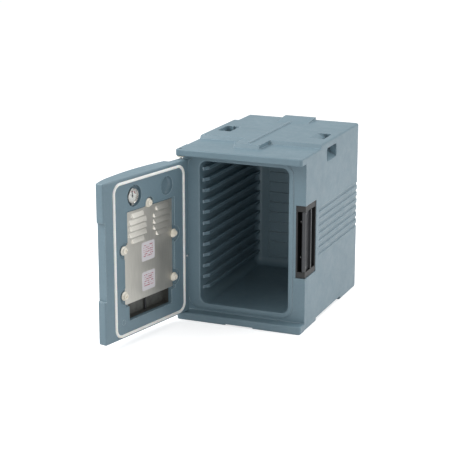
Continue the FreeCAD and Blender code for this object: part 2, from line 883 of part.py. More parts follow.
def latch_lever():
    """The lever: a barrel on the pin, an arm and the hook that grips the door."""
    low = latch_base_low + dims.latch_block + dims.lever_gap
    high = latch_base_high - dims.latch_block - dims.lever_gap
    reach = (pivot_y - (hinge_y + face - dims.catch_ledge_depth)) + dims.hook_gap
    arm_x = pivot_x - dims.lever_arm
    body = fuse(
        "lever_body",
        rod("lever_barrel", (pivot_x, pivot_y, low), "+z", dims.pivot_radius, high - low),
        box("lever_arm_plate", (arm_x, pivot_y, low),
            (pivot_x, pivot_y + reach + dims.hook_thickness + dims.lever_tip, high)),
        box("lever_hook", (arm_x, pivot_y + reach, low),
            (arm_x + dims.hook_length, pivot_y + reach + dims.hook_thickness, high)))
    return group("latch_lever", cut(
        "lever_bored", body,
        rod("lever_bore", (pivot_x, pivot_y, low - PAST), "+z",
            dims.pin_radius + dims.pin_play, high - low + 2 * PAST)))


latch_bracket = latch_base()
latch_handle = latch_lever()
latch_pin = group("latch_pin", rod(
    "latch_pin_rod", (pivot_x, pivot_y, latch_base_low + 2 * PAST), "+z", dims.pin_radius,
    latch_base_high - latch_base_low - 4 * PAST))
latch_screws = group("latch_screws", *[
    fuse(f"latch_screw_{index}", shank,
         rod(f"latch_screw_head_{index}", (latch_wall_x + dims.latch_plate, y, z), "+x",
             dims.screw_head_radius, dims.screw_head))
    for index, (shank, (y, z)) in enumerate(
        zip(screw_shanks("latch_shank", dims.screw_radius), screw_places))])


# ------------------------------------------------------------------ door, shell
def crown(x, inset=0):
    """Where the bowed outside of the door lies at a place along its width."""
    radius = dims.door_crown_radius
    across = x - dims.door_crown_place
    return (face - dims.door_thickness + radius - root_of(radius * radius - across * across)
            + inset)


def door_block(name, inset):
    """The door's form seen from above, padded to its height."""
    inset = as_size(inset)
    hinge_end = -dims.knuckle_end + inset
    free_end = door_edge - inset
    knuckle = dims.knuckle_width + inset
    points = [
        (hinge_end, face - inset),
        (free_end, face - inset),
        (free_end, face - dims.door_edge_thickness + inset),
        (dims.door_bevel_start, crown(dims.door_bevel_start, inset)),
        (knuckle + 4, crown(knuckle + 4, inset)),
        (knuckle, -dims.knuckle_thickness + inset),
        (hinge_end, -dims.knuckle_thickness + inset)]
    arcs = {2: -(dims.door_bevel_radius - inset), 3: -(dims.door_crown_radius - inset)}
    return padded(name, "XY_Plane", points, door_high - door_low - 2 * inset,
                  door_low + inset, arcs)


def door_outside():
    """The door's outer form with its rounded edges."""
    block = door_block("door_block", 0)
    block = round_edges("door_knuckle", block, dims.knuckle_radius,
                        lambda edge, middle: straight(edge, "z")
                        and near(middle.x, -dims.knuckle_end))
    return round_edges("door_outside", block, dims.door_edge_radius,
                       lambda edge, middle: near(middle.z, door_low)
                       or near(middle.z, door_high)
                       or (straight(edge, "z") and near(middle.x, door_edge)))


def catch_tools(name, grow):
    """The notch in the free edge and the ledge that the latch hook grips."""
    low = dims.catch_low - grow
    high = dims.catch_low + dims.catch_height + grow
    outer = -dims.door_thickness
    return [
        box(f"{name}_notch", (door_edge - dims.catch_cut - grow, outer, low),
            (door_edge + PAST, face + PAST, high)),
        box(f"{name}_ledge", (door_edge - dims.catch_ledge_width - grow, outer, low),
            (door_edge + PAST, face - dims.catch_ledge_depth + grow, high))]


cover_left = dims.cover_middle - dims.cover_width / 2
cover_right = dims.cover_middle + dims.cover_width / 2
knob_places = [
    (dims.cover_middle, dims.knob_top),
    (dims.cover_middle - dims.knob_reach, dims.knob_high),
    (dims.cover_middle - dims.knob_reach, dims.knob_low),
    (dims.cover_middle + dims.knob_reach, dims.knob_high),
    (dims.cover_middle + dims.knob_reach, dims.knob_low)]
insert_radius = dims.shank_radius + dims.shank_play + dims.insert_wall


def cover_recess():
    """The shallow recess that the cover lies in, with a bay round each knob."""
    gap = dims.cover_margin
    top = face + PAST
    parts = [
        box("recess_low", (cover_left - gap, ledge, dims.cover_low - gap),
            (cover_right + gap, top, dims.cover_shoulder + gap)),
        box("recess_high", (cover_left - gap, ledge, dims.cover_low),
            (cover_right - dims.cover_shoulder_step + gap, top, dims.cover_top + gap))]
    for index, (x, z) in enumerate(knob_places):
        bay = dims.knob_bay if index else dims.knob_bay * 0.75
        parts.append(rod(f"recess_bay_{index}", (x, ledge, z), "+y", bay,
                         dims.cover_sink + PAST))
    return fuse("cover_recess", *parts)


def well():
    """The deep heater well, open to the cavity below the cover."""
    x_low = dims.cover_middle - dims.well_width / 2
    x_high = dims.cover_middle + dims.well_width / 2
    deep = framed("well_deep", (x_low, dims.well_low), (x_high, dims.well_high),
                  well_floor, ledge + PAST, dims.well_radius)
    window = framed("well_window", (x_low, dims.well_low), (x_high, dims.cover_low),
                    ledge, face + PAST, dims.well_radius)
    return fuse("well", deep, window)


def vent_dish():
    """The empty round recess beside the thermometer, with its rounded floor."""
    floor = face - dims.vent_depth
    dish = rod("vent_bay", (dims.vent_place, floor, dims.dial_height), "+y",
               dims.vent_radius, dims.vent_depth + PAST)
    return round_edges("vent_dish", dish, dims.vent_floor_radius,
                       lambda edge, middle: near(middle.y, floor))


def gasket_ring(name, y_low, y_high):
    """The rounded frame of the gasket, or of its groove."""
    wide = dims.gasket_width
    low = (dims.gasket_hinge_margin, door_low + dims.gasket_low_margin)
    high = (door_edge - dims.gasket_free_margin, door_high - dims.gasket_high_margin)
    inner_low = (low[0] + wide, low[1] + wide)
    inner_high = (high[0] - wide, high[1] - wide)
    outer = framed(f"{name}_outer", low, high, y_low, y_high, dims.gasket_radius)
    inner = framed(f"{name}_inner", inner_low, inner_high, y_low - PAST, y_high + PAST,
                   dims.gasket_radius - wide)
    return cut(name, outer, inner)


dial_bay_x = dims.dial_place - dims.dial_bay_shift
inlet_x = dims.inlet_place
inlet_low = dims.inlet_height - dims.inlet_tall / 2
inlet_high = dims.inlet_height + dims.inlet_tall / 2
inlet_left = inlet_x - dims.inlet_width / 2
inlet_right = inlet_x + dims.inlet_width / 2
outside = face - dims.door_thickness
lamp_x = inlet_x + dims.lamp_spacing
lamp_bezel = dims.lamp_radius + 2
lamp_y = crown(lamp_x - lamp_bezel)
harness_y = well_floor + dims.tray_thickness + dims.harness_radius + dims.harness_gap
inlet_back = harness_y + dims.inlet_end
door_edge_plug = (dims.plug_place, dims.plug_height)


def door_foam():
    """The foam between the door's skins, clear of the well, bays and hinge."""
    skin = dims.skin
    well_half = dims.well_width / 2 + skin
    shallow = ledge - dims.insert_length - skin
    bay_half = dims.knob_reach + dims.knob_bay + skin
    return cut(
        "door_foam_space", door_block("door_core", skin),
        box("core_hinge", (-dims.knuckle_width, outside, 0),
            (dims.knuckle_width + skin, face, dims.deck_height)),
        box("core_well", (dims.cover_middle - well_half, well_floor - skin,
                          dims.well_low - skin),
            (dims.cover_middle + well_half, face, dims.well_high + skin)),
        box("core_bays", (dims.cover_middle - bay_half, shallow,
                          dims.cover_low - dims.cover_margin - skin),
            (dims.cover_middle + bay_half, face,
             dims.dial_height + dims.dial_bay_radius + skin)),
        box("core_inlet", (inlet_left - skin, outside - PAST, inlet_low - skin),
            (lamp_x + dims.lamp_radius + skin, inlet_back + skin,
             dims.well_low)),
        *catch_tools("core_catch", skin))


def door_shell():
    """The door's moulded skin with every recess, bore and bay."""
    insert_holes = [rod(f"insert_hole_{index}", (x, ledge + PAST, z), "-y", insert_radius,
                        dims.insert_length + PAST)
                    for index, (x, z) in enumerate(knob_places)]
    return cut(
        "door_hollow", door_outside(), door_core, cover_recess(), well(),
        gasket_ring("gasket_groove", face - dims.gasket_groove, face + PAST),
        rod("rod_bore", (0, 0, door_low - PAST), "+z", dims.rod_radius + dims.rod_play,
            door_high - door_low + 2 * PAST),
        rod("lock_bore", (0, 0, dims.lock_height), "+y", dims.lock_radius, face + PAST),
        rod("dial_bay", (dial_bay_x, face - dims.dial_bay_depth, dims.dial_height), "+y",
            dims.dial_bay_radius, dims.dial_bay_depth + PAST),
        vent_dish(),
        rod("fill_hole", (dims.plug_place, face - dims.skin - PAST, dims.plug_height), "+y",
            dims.plug_radius, dims.skin + 2 * PAST),
        box("inlet_pocket", (inlet_left, outside - PAST, inlet_low),
            (inlet_right, inlet_back, inlet_high)),
        rod("wire_hole", (inlet_x, harness_y, inlet_high - PAST), "+z", dims.harness_radius,
            dims.well_low - inlet_high + 2 * PAST),
        rod("lamp_hole", (lamp_x, outside - PAST, dims.inlet_height), "+y",
            dims.lamp_radius, dims.lamp_depth + PAST + (lamp_y - outside)),
        *insert_holes, *catch_tools("catch", 0))


door_core = door_foam()
door = hang("door_shell", door_shell())
door_fill = hang("door_foam", door_core)
door_plug = hang("door_plug", rod("door_plug_disc",
                                  (dims.plug_place, face - dims.skin, dims.plug_height),
                                  "+y", dims.plug_radius, dims.skin))

# ------------------------------------------------------------ door, small parts
rod_low = dims.sill_bore_floor + dims.rod_end_gap
hinge_rod = hang("hinge_rod", rod("hinge_rod_bar", (0, 0, rod_low), "+z", dims.rod_radius,
                                  dims.deck_height - dims.rod_recess - rod_low))
lock_screw = hang("rod_lock_screw", fuse(
    "lock_screw",
    rod("lock_shank", (0, dims.rod_radius, dims.lock_height), "+y", dims.lock_radius,
        face - dims.rod_radius),
    rod("lock_head", (0, face, dims.lock_height), "+y", dims.lock_head_radius,
        dims.lock_head)))
gasket_top = face + dims.door_gap - dims.rim_rise - dims.gasket_clearance
gasket = hang("door_gasket", gasket_ring("gasket_frame", face - dims.gasket_groove,
                                         gasket_top))


# ----------------------------------------------------------------- louvred cover
def louvres():
    """The hoods of both columns, and the space under each."""
    hoods = []
    spaces = []
    rise = dims.louvre_rise
    sheet_thickness = dims.cover_thickness
    rows = int(dims.louvre_rows.number)
    for column, way in (("free", 1), ("hinge", -1)):
        for row in range(rows):
            end_row = row in (0, rows - 1)
            half = (dims.louvre_short if end_row else dims.louvre_length) / 2
            middle = (dims.cover_middle - dims.cover_shoulder_step / 2
                      + way * dims.louvre_spacing / 2)
            x_low, x_high = middle - half, middle + half
            high = dims.louvre_high - dims.louvre_pitch * row
            low = high - dims.louvre_height
            slant = rise / 2
            hoods.append(wedge(
                f"hood_{column}_{row}", (x_low, cover_face, low),
                (x_high, cover_face + rise, high),
                (x_low + slant, low), (x_high - slant, low)))
            spaces.append(wedge(
                f"hood_space_{column}_{row}",
                (x_low + sheet_thickness, ledge - PAST, low - PAST),
                (x_high - sheet_thickness, cover_face + rise - sheet_thickness,
                 high - 2.5 * sheet_thickness),
                (x_low + slant + sheet_thickness, low - PAST),
                (x_high - slant - sheet_thickness, low - PAST)))
    return hoods, spaces


def louvred_cover():
    """The stainless cover plate with its louvres and the notches for its knobs."""
    tab = dims.cover_tab_width / 2
    shoulder = cover_right - dims.cover_shoulder_step
    profile = [
        (cover_left, dims.cover_low), (cover_right, dims.cover_low),
        (cover_right, dims.cover_shoulder),
        (shoulder, dims.cover_shoulder + dims.cover_margin),
        (shoulder, dims.cover_top), (dims.cover_middle + tab, dims.cover_top),
        (dims.cover_middle + tab, dims.cover_top + dims.cover_tab_height),
        (dims.cover_middle - tab, dims.cover_top + dims.cover_tab_height),
        (dims.cover_middle - tab, dims.cover_top), (cover_left, dims.cover_top)]
    plate = padded("cover_plate", "XZ_Plane", profile, dims.cover_thickness, -cover_face)
    hoods, spaces = louvres()
    notches = [rod(f"cover_notch_{index}", (x, ledge - PAST, z), "+y", dims.shank_notch,
                   dims.cover_thickness + 2 * PAST)
               for index, (x, z) in enumerate(knob_places)]
    return cut("cover_formed", fuse("cover_hooded", plate, *hoods), *spaces, *notches)


cover = hang("louvred_cover", louvred_cover())
labels = [
    hang(name, box(f"{name}_sheet",
                   (dims.label_place - dims.label_width / 2, cover_face, low),
                   (dims.label_place + dims.label_width / 2,
                    cover_face + dims.label_thickness, low + dims.label_height)))
    for name, low in (("label_upper", dims.label_high), ("label_lower", dims.label_low))]


# ------------------------------------------------------------------ cover knobs
def cover_knob(number, x, z):
    """A turn button: a rim that holds the cover down, a hub and a shank."""
    seat_y = cover_face + dims.knob_float
    name = f"cover_knob_{number}"
    hub_y = seat_y + dims.knob_rim
    body = fuse(
        f"{name}_body",
        rod(f"{name}_rim", (x, seat_y, z), "+y", dims.knob_radius, dims.knob_rim),
        cone(f"{name}_hub", (x, hub_y, z), "+y", dims.knob_hub_radius,
             dims.knob_hub_radius * 0.85, dims.knob_height - dims.knob_rim),
        rod(f"{name}_shank", (x, seat_y, z), "-y", dims.shank_radius,
            seat_y - ledge + dims.shank_length))
    dimple = rod(f"{name}_dimple", (x, seat_y + dims.knob_height - dims.knob_rim, z), "+y",
                 dims.knob_hub_radius / 2, dims.knob_rim + PAST)
    return hang(name, cut(f"{name}_cut", body, dimple))


knobs = [cover_knob(number, x, z) for number, (x, z) in enumerate(knob_places, start=1)]
inserts = hang("knob_inserts", *[
    cut(f"knob_insert_{index}",
        rod(f"insert_tube_{index}", (x, ledge, z), "-y", insert_radius, dims.insert_length),
        rod(f"insert_bore_{index}", (x, ledge + PAST, z), "-y",
            dims.shank_radius + dims.shank_play, dims.insert_length + 2 * PAST))
    for index, (x, z) in enumerate(knob_places)])


# ------------------------------------------------------------------ heater parts
tray_left = dims.cover_middle - dims.well_width / 2 + dims.tray_clearance
tray_right = dims.cover_middle + dims.well_width / 2 - dims.tray_clearance
tray_low = dims.well_low + dims.tray_clearance
tray_high = dims.well_high - dims.tray_clearance
tray_floor = well_floor + dims.tray_thickness
element_y = tray_floor + dims.element_standoff
element_left = dims.cover_middle - dims.element_span / 2
element_right = dims.cover_middle + dims.element_span / 2
block_low = dims.block_place
block_high = block_low + dims.block_height
element_low = block_high + dims.lead_length
wire_radius = dims.harness_radius / 2


def heater_tray():
    """The folded steel tray that lines the well."""
    wall = dims.tray_thickness
    outer = box("tray_outer", (tray_left, well_floor, tray_low),
                (tray_right, well_floor + dims.tray_depth, tray_high))
    inner = box("tray_inner", (tray_left + wall, tray_floor, tray_low + wall),
                (tray_right - wall, ledge, tray_high - wall))
    return cut("tray_folded", outer, inner,
               rod("tray_wire_hole", (inlet_x, harness_y, tray_low - PAST), "+z",
                   dims.harness_radius, wall + 2 * PAST))


def heater_element():
    """The tubular element: two legs joined by a bend at the top."""
    radius = dims.element_radius
    bend = dims.element_bend
    leg = dims.element_high - bend - element_low
    parts = []
    for name, x in (("left", element_left), ("right", element_right)):
        parts.append(rod(f"element_{name}", (x, element_y, element_low), "+z", radius,
                         leg))
    for name, x, start in (("left", element_left + bend, 90), ("right",
                                                               element_right - bend, 0)):
        corner = doc.addObject("Part::Torus", f"element_bend_{name}")
        upright = FreeCAD.Rotation(Vector(1, 0, 0), 90)
        about = FreeCAD.Rotation(Vector(0, 0, 1), start)
        corner.Placement = FreeCAD.Placement(Vector(), upright.multiply(about))
        bind(corner, "Radius1", bend)
        bind(corner, "Radius2", radius)
        corner.Angle3 = 90
        bind_place(corner, x, element_y, dims.element_high - bend)
        parts.append(corner)
    parts.append(rod("element_top", (element_left + bend, element_y, dims.element_high),
                     "+x", radius, dims.element_span - 2 * bend))
    return fuse("element_bent", *parts)


def element_clips():
    """The clips that hold the element's legs off the tray."""
    clips = []
    wide = dims.element_radius + 2
    tall = dims.clip_width
    for name, x in (("left", element_left), ("right", element_right)):
        for level, z in (("low", element_low + 3 * tall),
                         ("high", dims.element_high - dims.element_bend - 3 * tall)):
            block = box(f"clip_{name}_{level}_block", (x - wide, tray_floor, z),
                        (x + wide, element_y, z + tall))
            seat_hole = rod(f"clip_{name}_{level}_seat", (x, element_y, z - PAST), "+z",
                            dims.element_radius, tall + 2 * PAST)
            clips.append(cut(f"clip_{name}_{level}", block, seat_hole))
    return clips


def wiring():
    """The supply lead from the inlet and the two leads to the element."""
    low = inlet_high
    supply = rod("supply_lead", (inlet_x, harness_y, low), "+z", dims.harness_radius,
                 block_low - low)
    turn_z = (block_high + element_low) / 2
    leads = []
    for name, start, end in (("left", dims.cover_middle - dims.block_width / 4, element_left),
                             ("right", dims.cover_middle + dims.block_width / 4,
                              element_right)):
        x_low, length = (end, start - end) if name == "left" else (start, end - start)
        leads.append(fuse(
            f"lead_{name}",
            rod(f"lead_{name}_up", (start, element_y, block_high), "+z", wire_radius,
                turn_z - block_high + wire_radius),
            rod(f"lead_{name}_across", (x_low, element_y, turn_z), "+x", wire_radius, length),
            rod(f"lead_{name}_end", (end, element_y, turn_z - wire_radius), "+z", wire_radius,
                element_low - turn_z + wire_radius)))
    return [supply, *leads]


tray = hang("heater_tray", heater_tray())
element = hang("heater_element", heater_element())
clips = hang("element_clips", *element_clips())
thermostat_z = (element_low + dims.element_high) / 2
thermostat = hang("thermostat", fuse(
    "thermostat_body",
    rod("thermostat_cup", (dims.cover_middle, tray_floor, thermostat_z), "+y",
        dims.thermostat_radius, dims.thermostat_height),
    box("thermostat_flange", (dims.cover_middle - 1.6 * dims.thermostat_radius, tray_floor,
                              thermostat_z - dims.thermostat_radius / 2),
        (dims.cover_middle + 1.6 * dims.thermostat_radius, tray_floor + dims.tray_thickness,
         thermostat_z + dims.thermostat_radius / 2))))
cutoff_z = thermostat_z - 4 * dims.thermostat_radius
cutoff = hang("thermal_cutoff", rod(
    "cutoff_can", (dims.cover_middle, tray_floor, cutoff_z), "+y",
    dims.thermostat_radius * 0.7, dims.thermostat_height * 0.8))
terminal_block = hang("terminal_block", box(
    "block_body", (dims.cover_middle - dims.block_width / 2, tray_floor, block_low),
    (dims.cover_middle + dims.block_width / 2, tray_floor + dims.block_depth, block_high)))
harness = hang("wiring_harness", *wiring())


# ----------------------------------------------------- mains inlet and pilot lamp
def power_inlet():
    """The flanged inlet housing with its open mouth on the outside."""
    flange = dims.inlet_flange
    wall = dims.inlet_flange_thickness
    body = fuse(
        "inlet_body",
        box("inlet_case", (inlet_left, outside, inlet_low),
            (inlet_right, inlet_back, inlet_high)),
        box("inlet_plate", (inlet_left - flange, outside - wall, inlet_low - flange),
            (inlet_right + flange, outside, inlet_high + flange)))
    mouth = box("inlet_mouth", (inlet_left + wall, outside - wall - PAST, inlet_low + wall),
                (inlet_right - wall, outside + dims.inlet_mouth, inlet_high - wall))
    return cut("inlet_open", body, mouth)


def inlet_pins():
    """The three flat pins inside the inlet's mouth."""
    pins = []
    for index, side in enumerate((-1, 0, 1)):
        x = inlet_x + side * dims.pin_spacing
        z = dims.inlet_height + (dims.pin_height / 2 if side == 0 else -dims.pin_height / 2)
        pins.append(box(f"inlet_pin_{index}",
                        (x - dims.pin_width / 2, outside, z - dims.pin_height / 2),
                        (x + dims.pin_width / 2, outside + dims.inlet_mouth,
                         z + dims.pin_height / 2)))
    return pins


inlet = hang("power_inlet", power_inlet())
pins = hang("inlet_pins", *inlet_pins())
lamp = hang("pilot_lamp", fuse(
    "lamp_body",
    rod("lamp_barrel", (lamp_x, lamp_y, dims.inlet_height), "+y", dims.lamp_radius,
        dims.lamp_depth - PAST),
    rod("lamp_bezel", (lamp_x, lamp_y, dims.inlet_height), "-y", lamp_bezel, 1.5),
    cone("lamp_lens", (lamp_x, lamp_y - 1.5, dims.inlet_height), "-y", dims.lamp_radius,
         dims.lamp_radius * 0.5, dims.lamp_dome)))

# ------------------------------------------------------------------ thermometer
case_low = face - dims.dial_bay_depth
case_high = case_low + dims.case_depth
case_inner = dims.dial_radius - dims.case_wall
dial_at = (dims.dial_place, dims.dial_height)
dial_y = case_low + dims.case_depth / 2
lens_y = case_high - dims.lens_thickness - dims.dial_thickness
pointer_y = dial_y + dims.dial_thickness + 0.4
pointer_thick = lens_y - pointer_y - 0.4
spindle_radius = dims.pointer_radius - dims.rod_play


def disc(name, y, radius, thickness):
    """A round plate of the thermometer."""
    return rod(name, (dims.dial_place, y, dims.dial_height), "+y", radius, thickness)


def pointer():
    """The needle on its hub, with a running bore over the spindle."""
    x, z = dial_at
    needle = box("pointer_needle", (x - 0.9, pointer_y, z - dims.pointer_length / 3),
                 (x + 0.9, pointer_y + pointer_thick, z + dims.pointer_length))
    return cut("pointer_bored",
               fuse("pointer_body", needle,
                    disc("pointer_hub", pointer_y, dims.pointer_radius * 2.4, pointer_thick)),
               disc("pointer_bore", pointer_y - PAST, dims.pointer_radius,
                    pointer_thick + 2 * PAST))


spindle_length = pointer_y + pointer_thick - case_low - dims.case_wall
thermometer = [
    hang("thermometer_case",
         cut("case_cup", disc("case_outer", case_low, dims.dial_radius, dims.case_depth),
             disc("case_inner", case_low + dims.case_wall, case_inner, dims.case_depth))),
    hang("thermometer_dial",
         cut("dial_plate", disc("dial_disc", dial_y, case_inner, dims.dial_thickness),
             disc("dial_hole", dial_y - PAST, spindle_radius,
                  dims.dial_thickness + 2 * PAST))),
    hang("thermometer_lens", disc("lens_disc", lens_y, case_inner, dims.lens_thickness)),
    hang("pointer_spindle", disc("spindle_rod", case_low + dims.case_wall, spindle_radius,
                                 spindle_length)),
    hang("thermometer_pointer", pointer()),
    hang("thermometer_clip", box(
        "clip_body", (dims.dial_place - 5, case_low,
                      dims.dial_height - dims.dial_radius - 7),
        (dims.dial_place + 5, case_high - 3, dims.dial_height - dims.dial_radius)))]

# ----------------------------------------------------------------------- export
NODES = [carcass, carcass_fill, carcass_plug, hinge_bush_top, hinge_bush_bottom,
         latch_bracket, latch_handle, latch_pin, latch_screws, door, door_fill, door_plug,
         hinge_rod, lock_screw, gasket, cover, *labels, *knobs, inserts, tray, element,
         clips, thermostat, cutoff, terminal_block, harness, inlet, pins, lamp,
         *thermometer]

doc.recompute()
for thing in doc.Objects:
    if {"Invalid", "Error"} & set(thing.State):
        raise RuntimeError(f"{thing.Label} failed: {thing.State}")
os.makedirs("parts", exist_ok=True)
for node in NODES:
    shape = node.Shape
    if shape.isNull() or not shape.isValid() or not shape.Solids:
        raise RuntimeError(f"{node.Label} has no valid shape")
    shape.exportStep(os.path.join("parts", f"{node.Label}.step"))
    print(f"{node.Label}: {len(shape.Solids)} solid(s), {shape.Volume / 1000:.1f} cm3")
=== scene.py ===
"""The looks of an insulated food carrier, piece by piece, round its fixed frame.

The sections follow the order in which the real carrier goes together: the
foam-filled shells, the hinge, the latch, and then what the door carries.
"""
import json
import math

import bmesh
import bpy
from mathutils import Matrix, Vector


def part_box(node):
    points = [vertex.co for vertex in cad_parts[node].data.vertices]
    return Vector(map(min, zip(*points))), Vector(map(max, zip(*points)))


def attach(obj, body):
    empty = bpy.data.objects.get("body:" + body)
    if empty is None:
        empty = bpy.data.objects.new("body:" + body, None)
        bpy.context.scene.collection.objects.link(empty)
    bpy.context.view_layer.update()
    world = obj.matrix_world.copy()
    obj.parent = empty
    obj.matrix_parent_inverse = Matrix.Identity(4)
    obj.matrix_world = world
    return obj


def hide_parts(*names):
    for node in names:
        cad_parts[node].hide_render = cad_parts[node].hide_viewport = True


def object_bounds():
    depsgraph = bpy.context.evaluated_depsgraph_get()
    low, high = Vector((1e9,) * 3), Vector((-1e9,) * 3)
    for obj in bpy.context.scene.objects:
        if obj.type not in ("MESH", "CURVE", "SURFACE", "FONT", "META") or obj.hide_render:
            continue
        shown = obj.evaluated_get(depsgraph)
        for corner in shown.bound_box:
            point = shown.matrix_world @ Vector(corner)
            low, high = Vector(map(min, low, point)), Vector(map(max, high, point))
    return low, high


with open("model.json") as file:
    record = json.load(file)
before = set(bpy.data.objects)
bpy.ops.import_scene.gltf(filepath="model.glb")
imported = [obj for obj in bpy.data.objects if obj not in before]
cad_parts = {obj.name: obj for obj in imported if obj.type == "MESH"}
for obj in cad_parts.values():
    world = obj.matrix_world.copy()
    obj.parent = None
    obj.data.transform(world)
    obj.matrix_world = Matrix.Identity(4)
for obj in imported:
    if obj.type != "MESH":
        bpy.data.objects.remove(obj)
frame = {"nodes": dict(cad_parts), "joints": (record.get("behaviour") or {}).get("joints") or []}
cad_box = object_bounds()
nodes = frame["nodes"]


# ------------------------------------------------------- the two moulded shells
# Carcass and door are hollow shells of rotomoulded polyethylene, blue all
# through, filled with foam.  The mould leaves soft edges and a faint orange peel.

# Noise lies mostly between these two, so they are stretched to a whole range.
NOISE_LOW, NOISE_HIGH = 0.3, 0.7


def linear(hex_colour):
    """An sRGB hex colour as the linear RGBA that shaders take."""
    channels = [int(hex_colour[at:at + 2], 16) / 255 for at in (1, 3, 5)]
    return tuple(c / 12.92 if c <= 0.04045 else ((c + 0.055) / 1.055) ** 2.4
                 for c in channels) + (1.0,)


def per_metre(size_mm):
    """The scale of a pattern whose features are about this size."""
    return 1000 / size_mm


def node(tree, kind, settings=None, numbered=None, **inputs):
    """Adds a shader node; an input, named or numbered, is a value or a socket."""
    made = tree.nodes.new(kind)
    for name, value in (settings or {}).items():
        setattr(made, name, value)
    wanted = {name.replace("_", " "): value for name, value in inputs.items()}
    wanted.update(numbered or {})
    for key, value in wanted.items():
        if isinstance(value, bpy.types.NodeSocket):
            tree.links.new(value, made.inputs[key])
        else:
            made.inputs[key].default_value = value
    return made


def material(name):
    """An empty node material, and its tree."""
    made = bpy.data.materials.new(name)
    made.use_nodes = True
    made.node_tree.nodes.clear()
    return made, made.node_tree


def mottled(tree, pattern, first, second, most=1.0):
    """The first colour, with up to a share of the second where the pattern is high."""
    share = node(tree, "ShaderNodeMapRange", Value=pattern, From_Min=NOISE_LOW,
                 From_Max=NOISE_HIGH, To_Min=0, To_Max=most).outputs[0]
    return node(tree, "ShaderNodeMix", {"data_type": "RGBA"},
                {0: share, 6: first, 7: second}).outputs[2]


def rotomoulded_polyethylene():
    """Polyethylene from a rotating mould: satin, mottled, with a painted highlight on its edges.
    """
    edge_radius = 0.0045
    made, tree = material("rotomoulded_polyethylene")
    place = node(tree, "ShaderNodeTexCoord").outputs["Object"]
    cloud = node(tree, "ShaderNodeTexNoise", Vector=place, Scale=per_metre(160), Detail=3)
    mottle = node(tree, "ShaderNodeTexNoise", Vector=place, Scale=per_metre(7), Detail=3)
    colour = mottled(tree, cloud.outputs["Fac"], linear("#687f8a"), linear("#708792"))
    colour = mottled(tree, mottle.outputs["Fac"], colour, linear("#617782"), most=0.35)

    # Where the rounded normal leaves the true one, the piece has an edge; there the colour is
    # painted paler, a painted highlight for the light that rounded edges catch.
    soft = node(tree, "ShaderNodeBevel", {"samples": 6}, Radius=edge_radius)
    true_normal = node(tree, "ShaderNodeNewGeometry").outputs["Normal"]
    facing = node(tree, "ShaderNodeVectorMath", {"operation": "DOT_PRODUCT"},
                  {0: soft.outputs[0], 1: true_normal})
    painted_edge_highlight = node(tree, "ShaderNodeMapRange", Value=facing.outputs["Value"],
                  From_Min=0.70, From_Max=0.985, To_Min=0.75, To_Max=0)
    # Painted highlight: the edges are mixed towards a pale blue.
    colour = node(tree, "ShaderNodeMix", {"data_type": "RGBA"},
                  {0: painted_edge_highlight.outputs[0], 6: colour, 7: linear("#a6bac5")}).outputs[2]

    scuff = node(tree, "ShaderNodeTexNoise", Vector=place, Scale=per_metre(35), Detail=6,
                 Roughness=0.7)
    gloss = node(tree, "ShaderNodeMapRange", Value=scuff.outputs["Fac"],
                 From_Min=NOISE_LOW, From_Max=NOISE_HIGH, To_Min=0.36, To_Max=0.5)
    peel = node(tree, "ShaderNodeTexNoise", Vector=place, Scale=per_metre(2.6), Detail=2)
    bump = node(tree, "ShaderNodeBump", Strength=0.28, Distance=0.0006,
                Height=peel.outputs["Fac"], Normal=soft.outputs[0])
    shader = node(tree, "ShaderNodeBsdfPrincipled", Base_Color=colour,
                  Roughness=gloss.outputs[0], IOR=1.51, Normal=bump.outputs[0])
    node(tree, "ShaderNodeOutputMaterial", Surface=shader.outputs[0])
    return made


def dress(finish, *names):
    """Gives CAD nodes a finish."""
    for name in names:
        nodes[name].data.materials.clear()
        nodes[name].data.materials.append(finish)


dress(rotomoulded_polyethylene(), "carcass_shell", "carcass_plug", "door_shell",
      "door_plug")


# ------------------------------------------------------------------------ foam
# Rigid polyurethane foam, poured in through a hole and foamed in place.  It is
# closed in on all sides, and shows only where a shell is cut open.

def poured_foam():
    """Cream closed-cell foam: cells of about a millimetre, dull all over."""
    cells_per_metre = 900
    made, tree = material("polyurethane_foam")
    place = node(tree, "ShaderNodeTexCoord").outputs["Object"]
    cells = node(tree, "ShaderNodeTexVoronoi", Vector=place, Scale=cells_per_metre)
    wall = node(tree, "ShaderNodeMapRange", Value=cells.outputs["Distance"],
                From_Min=0, From_Max=0.8, To_Min=0, To_Max=1)
    colour = node(tree, "ShaderNodeMix", {"data_type": "RGBA"},
                  {0: wall.outputs[0], 6: linear("#e3d3a0"), 7: linear("#f0e6c4")})
    bump = node(tree, "ShaderNodeBump", Strength=0.5, Distance=0.0004,
                Height=cells.outputs["Distance"])
    shader = node(tree, "ShaderNodeBsdfPrincipled", Base_Color=colour.outputs[2],
                  Roughness=0.95, Normal=bump.outputs[0])
    node(tree, "ShaderNodeOutputMaterial", Surface=shader.outputs[0])
    return made


dress(poured_foam(), "carcass_foam", "door_foam")


# ----------------------------------------------------------------------- hinge
# A bright steel rod runs the door's full height and turns in two flanged nylon
# bushes, pressed into the lip and the sill.  A small screw locks it to the door.

door_joint = next(j for j in frame["joints"] if j["name"] == "door_swing")
hinge = Vector((door_joint["pos_m"][0], door_joint["pos_m"][1], 0))
drawn_open = math.radians(door_joint["range_deg"][0])
door_place = Matrix.Translation(hinge) @ Matrix.Rotation(drawn_open, 4, "Z")
carcass_place = Matrix.Identity(4)
INWARD = Matrix.Rotation(math.radians(-90), 3, "X")
RIGHTWARD = Matrix.Rotation(math.radians(90), 3, "Y")


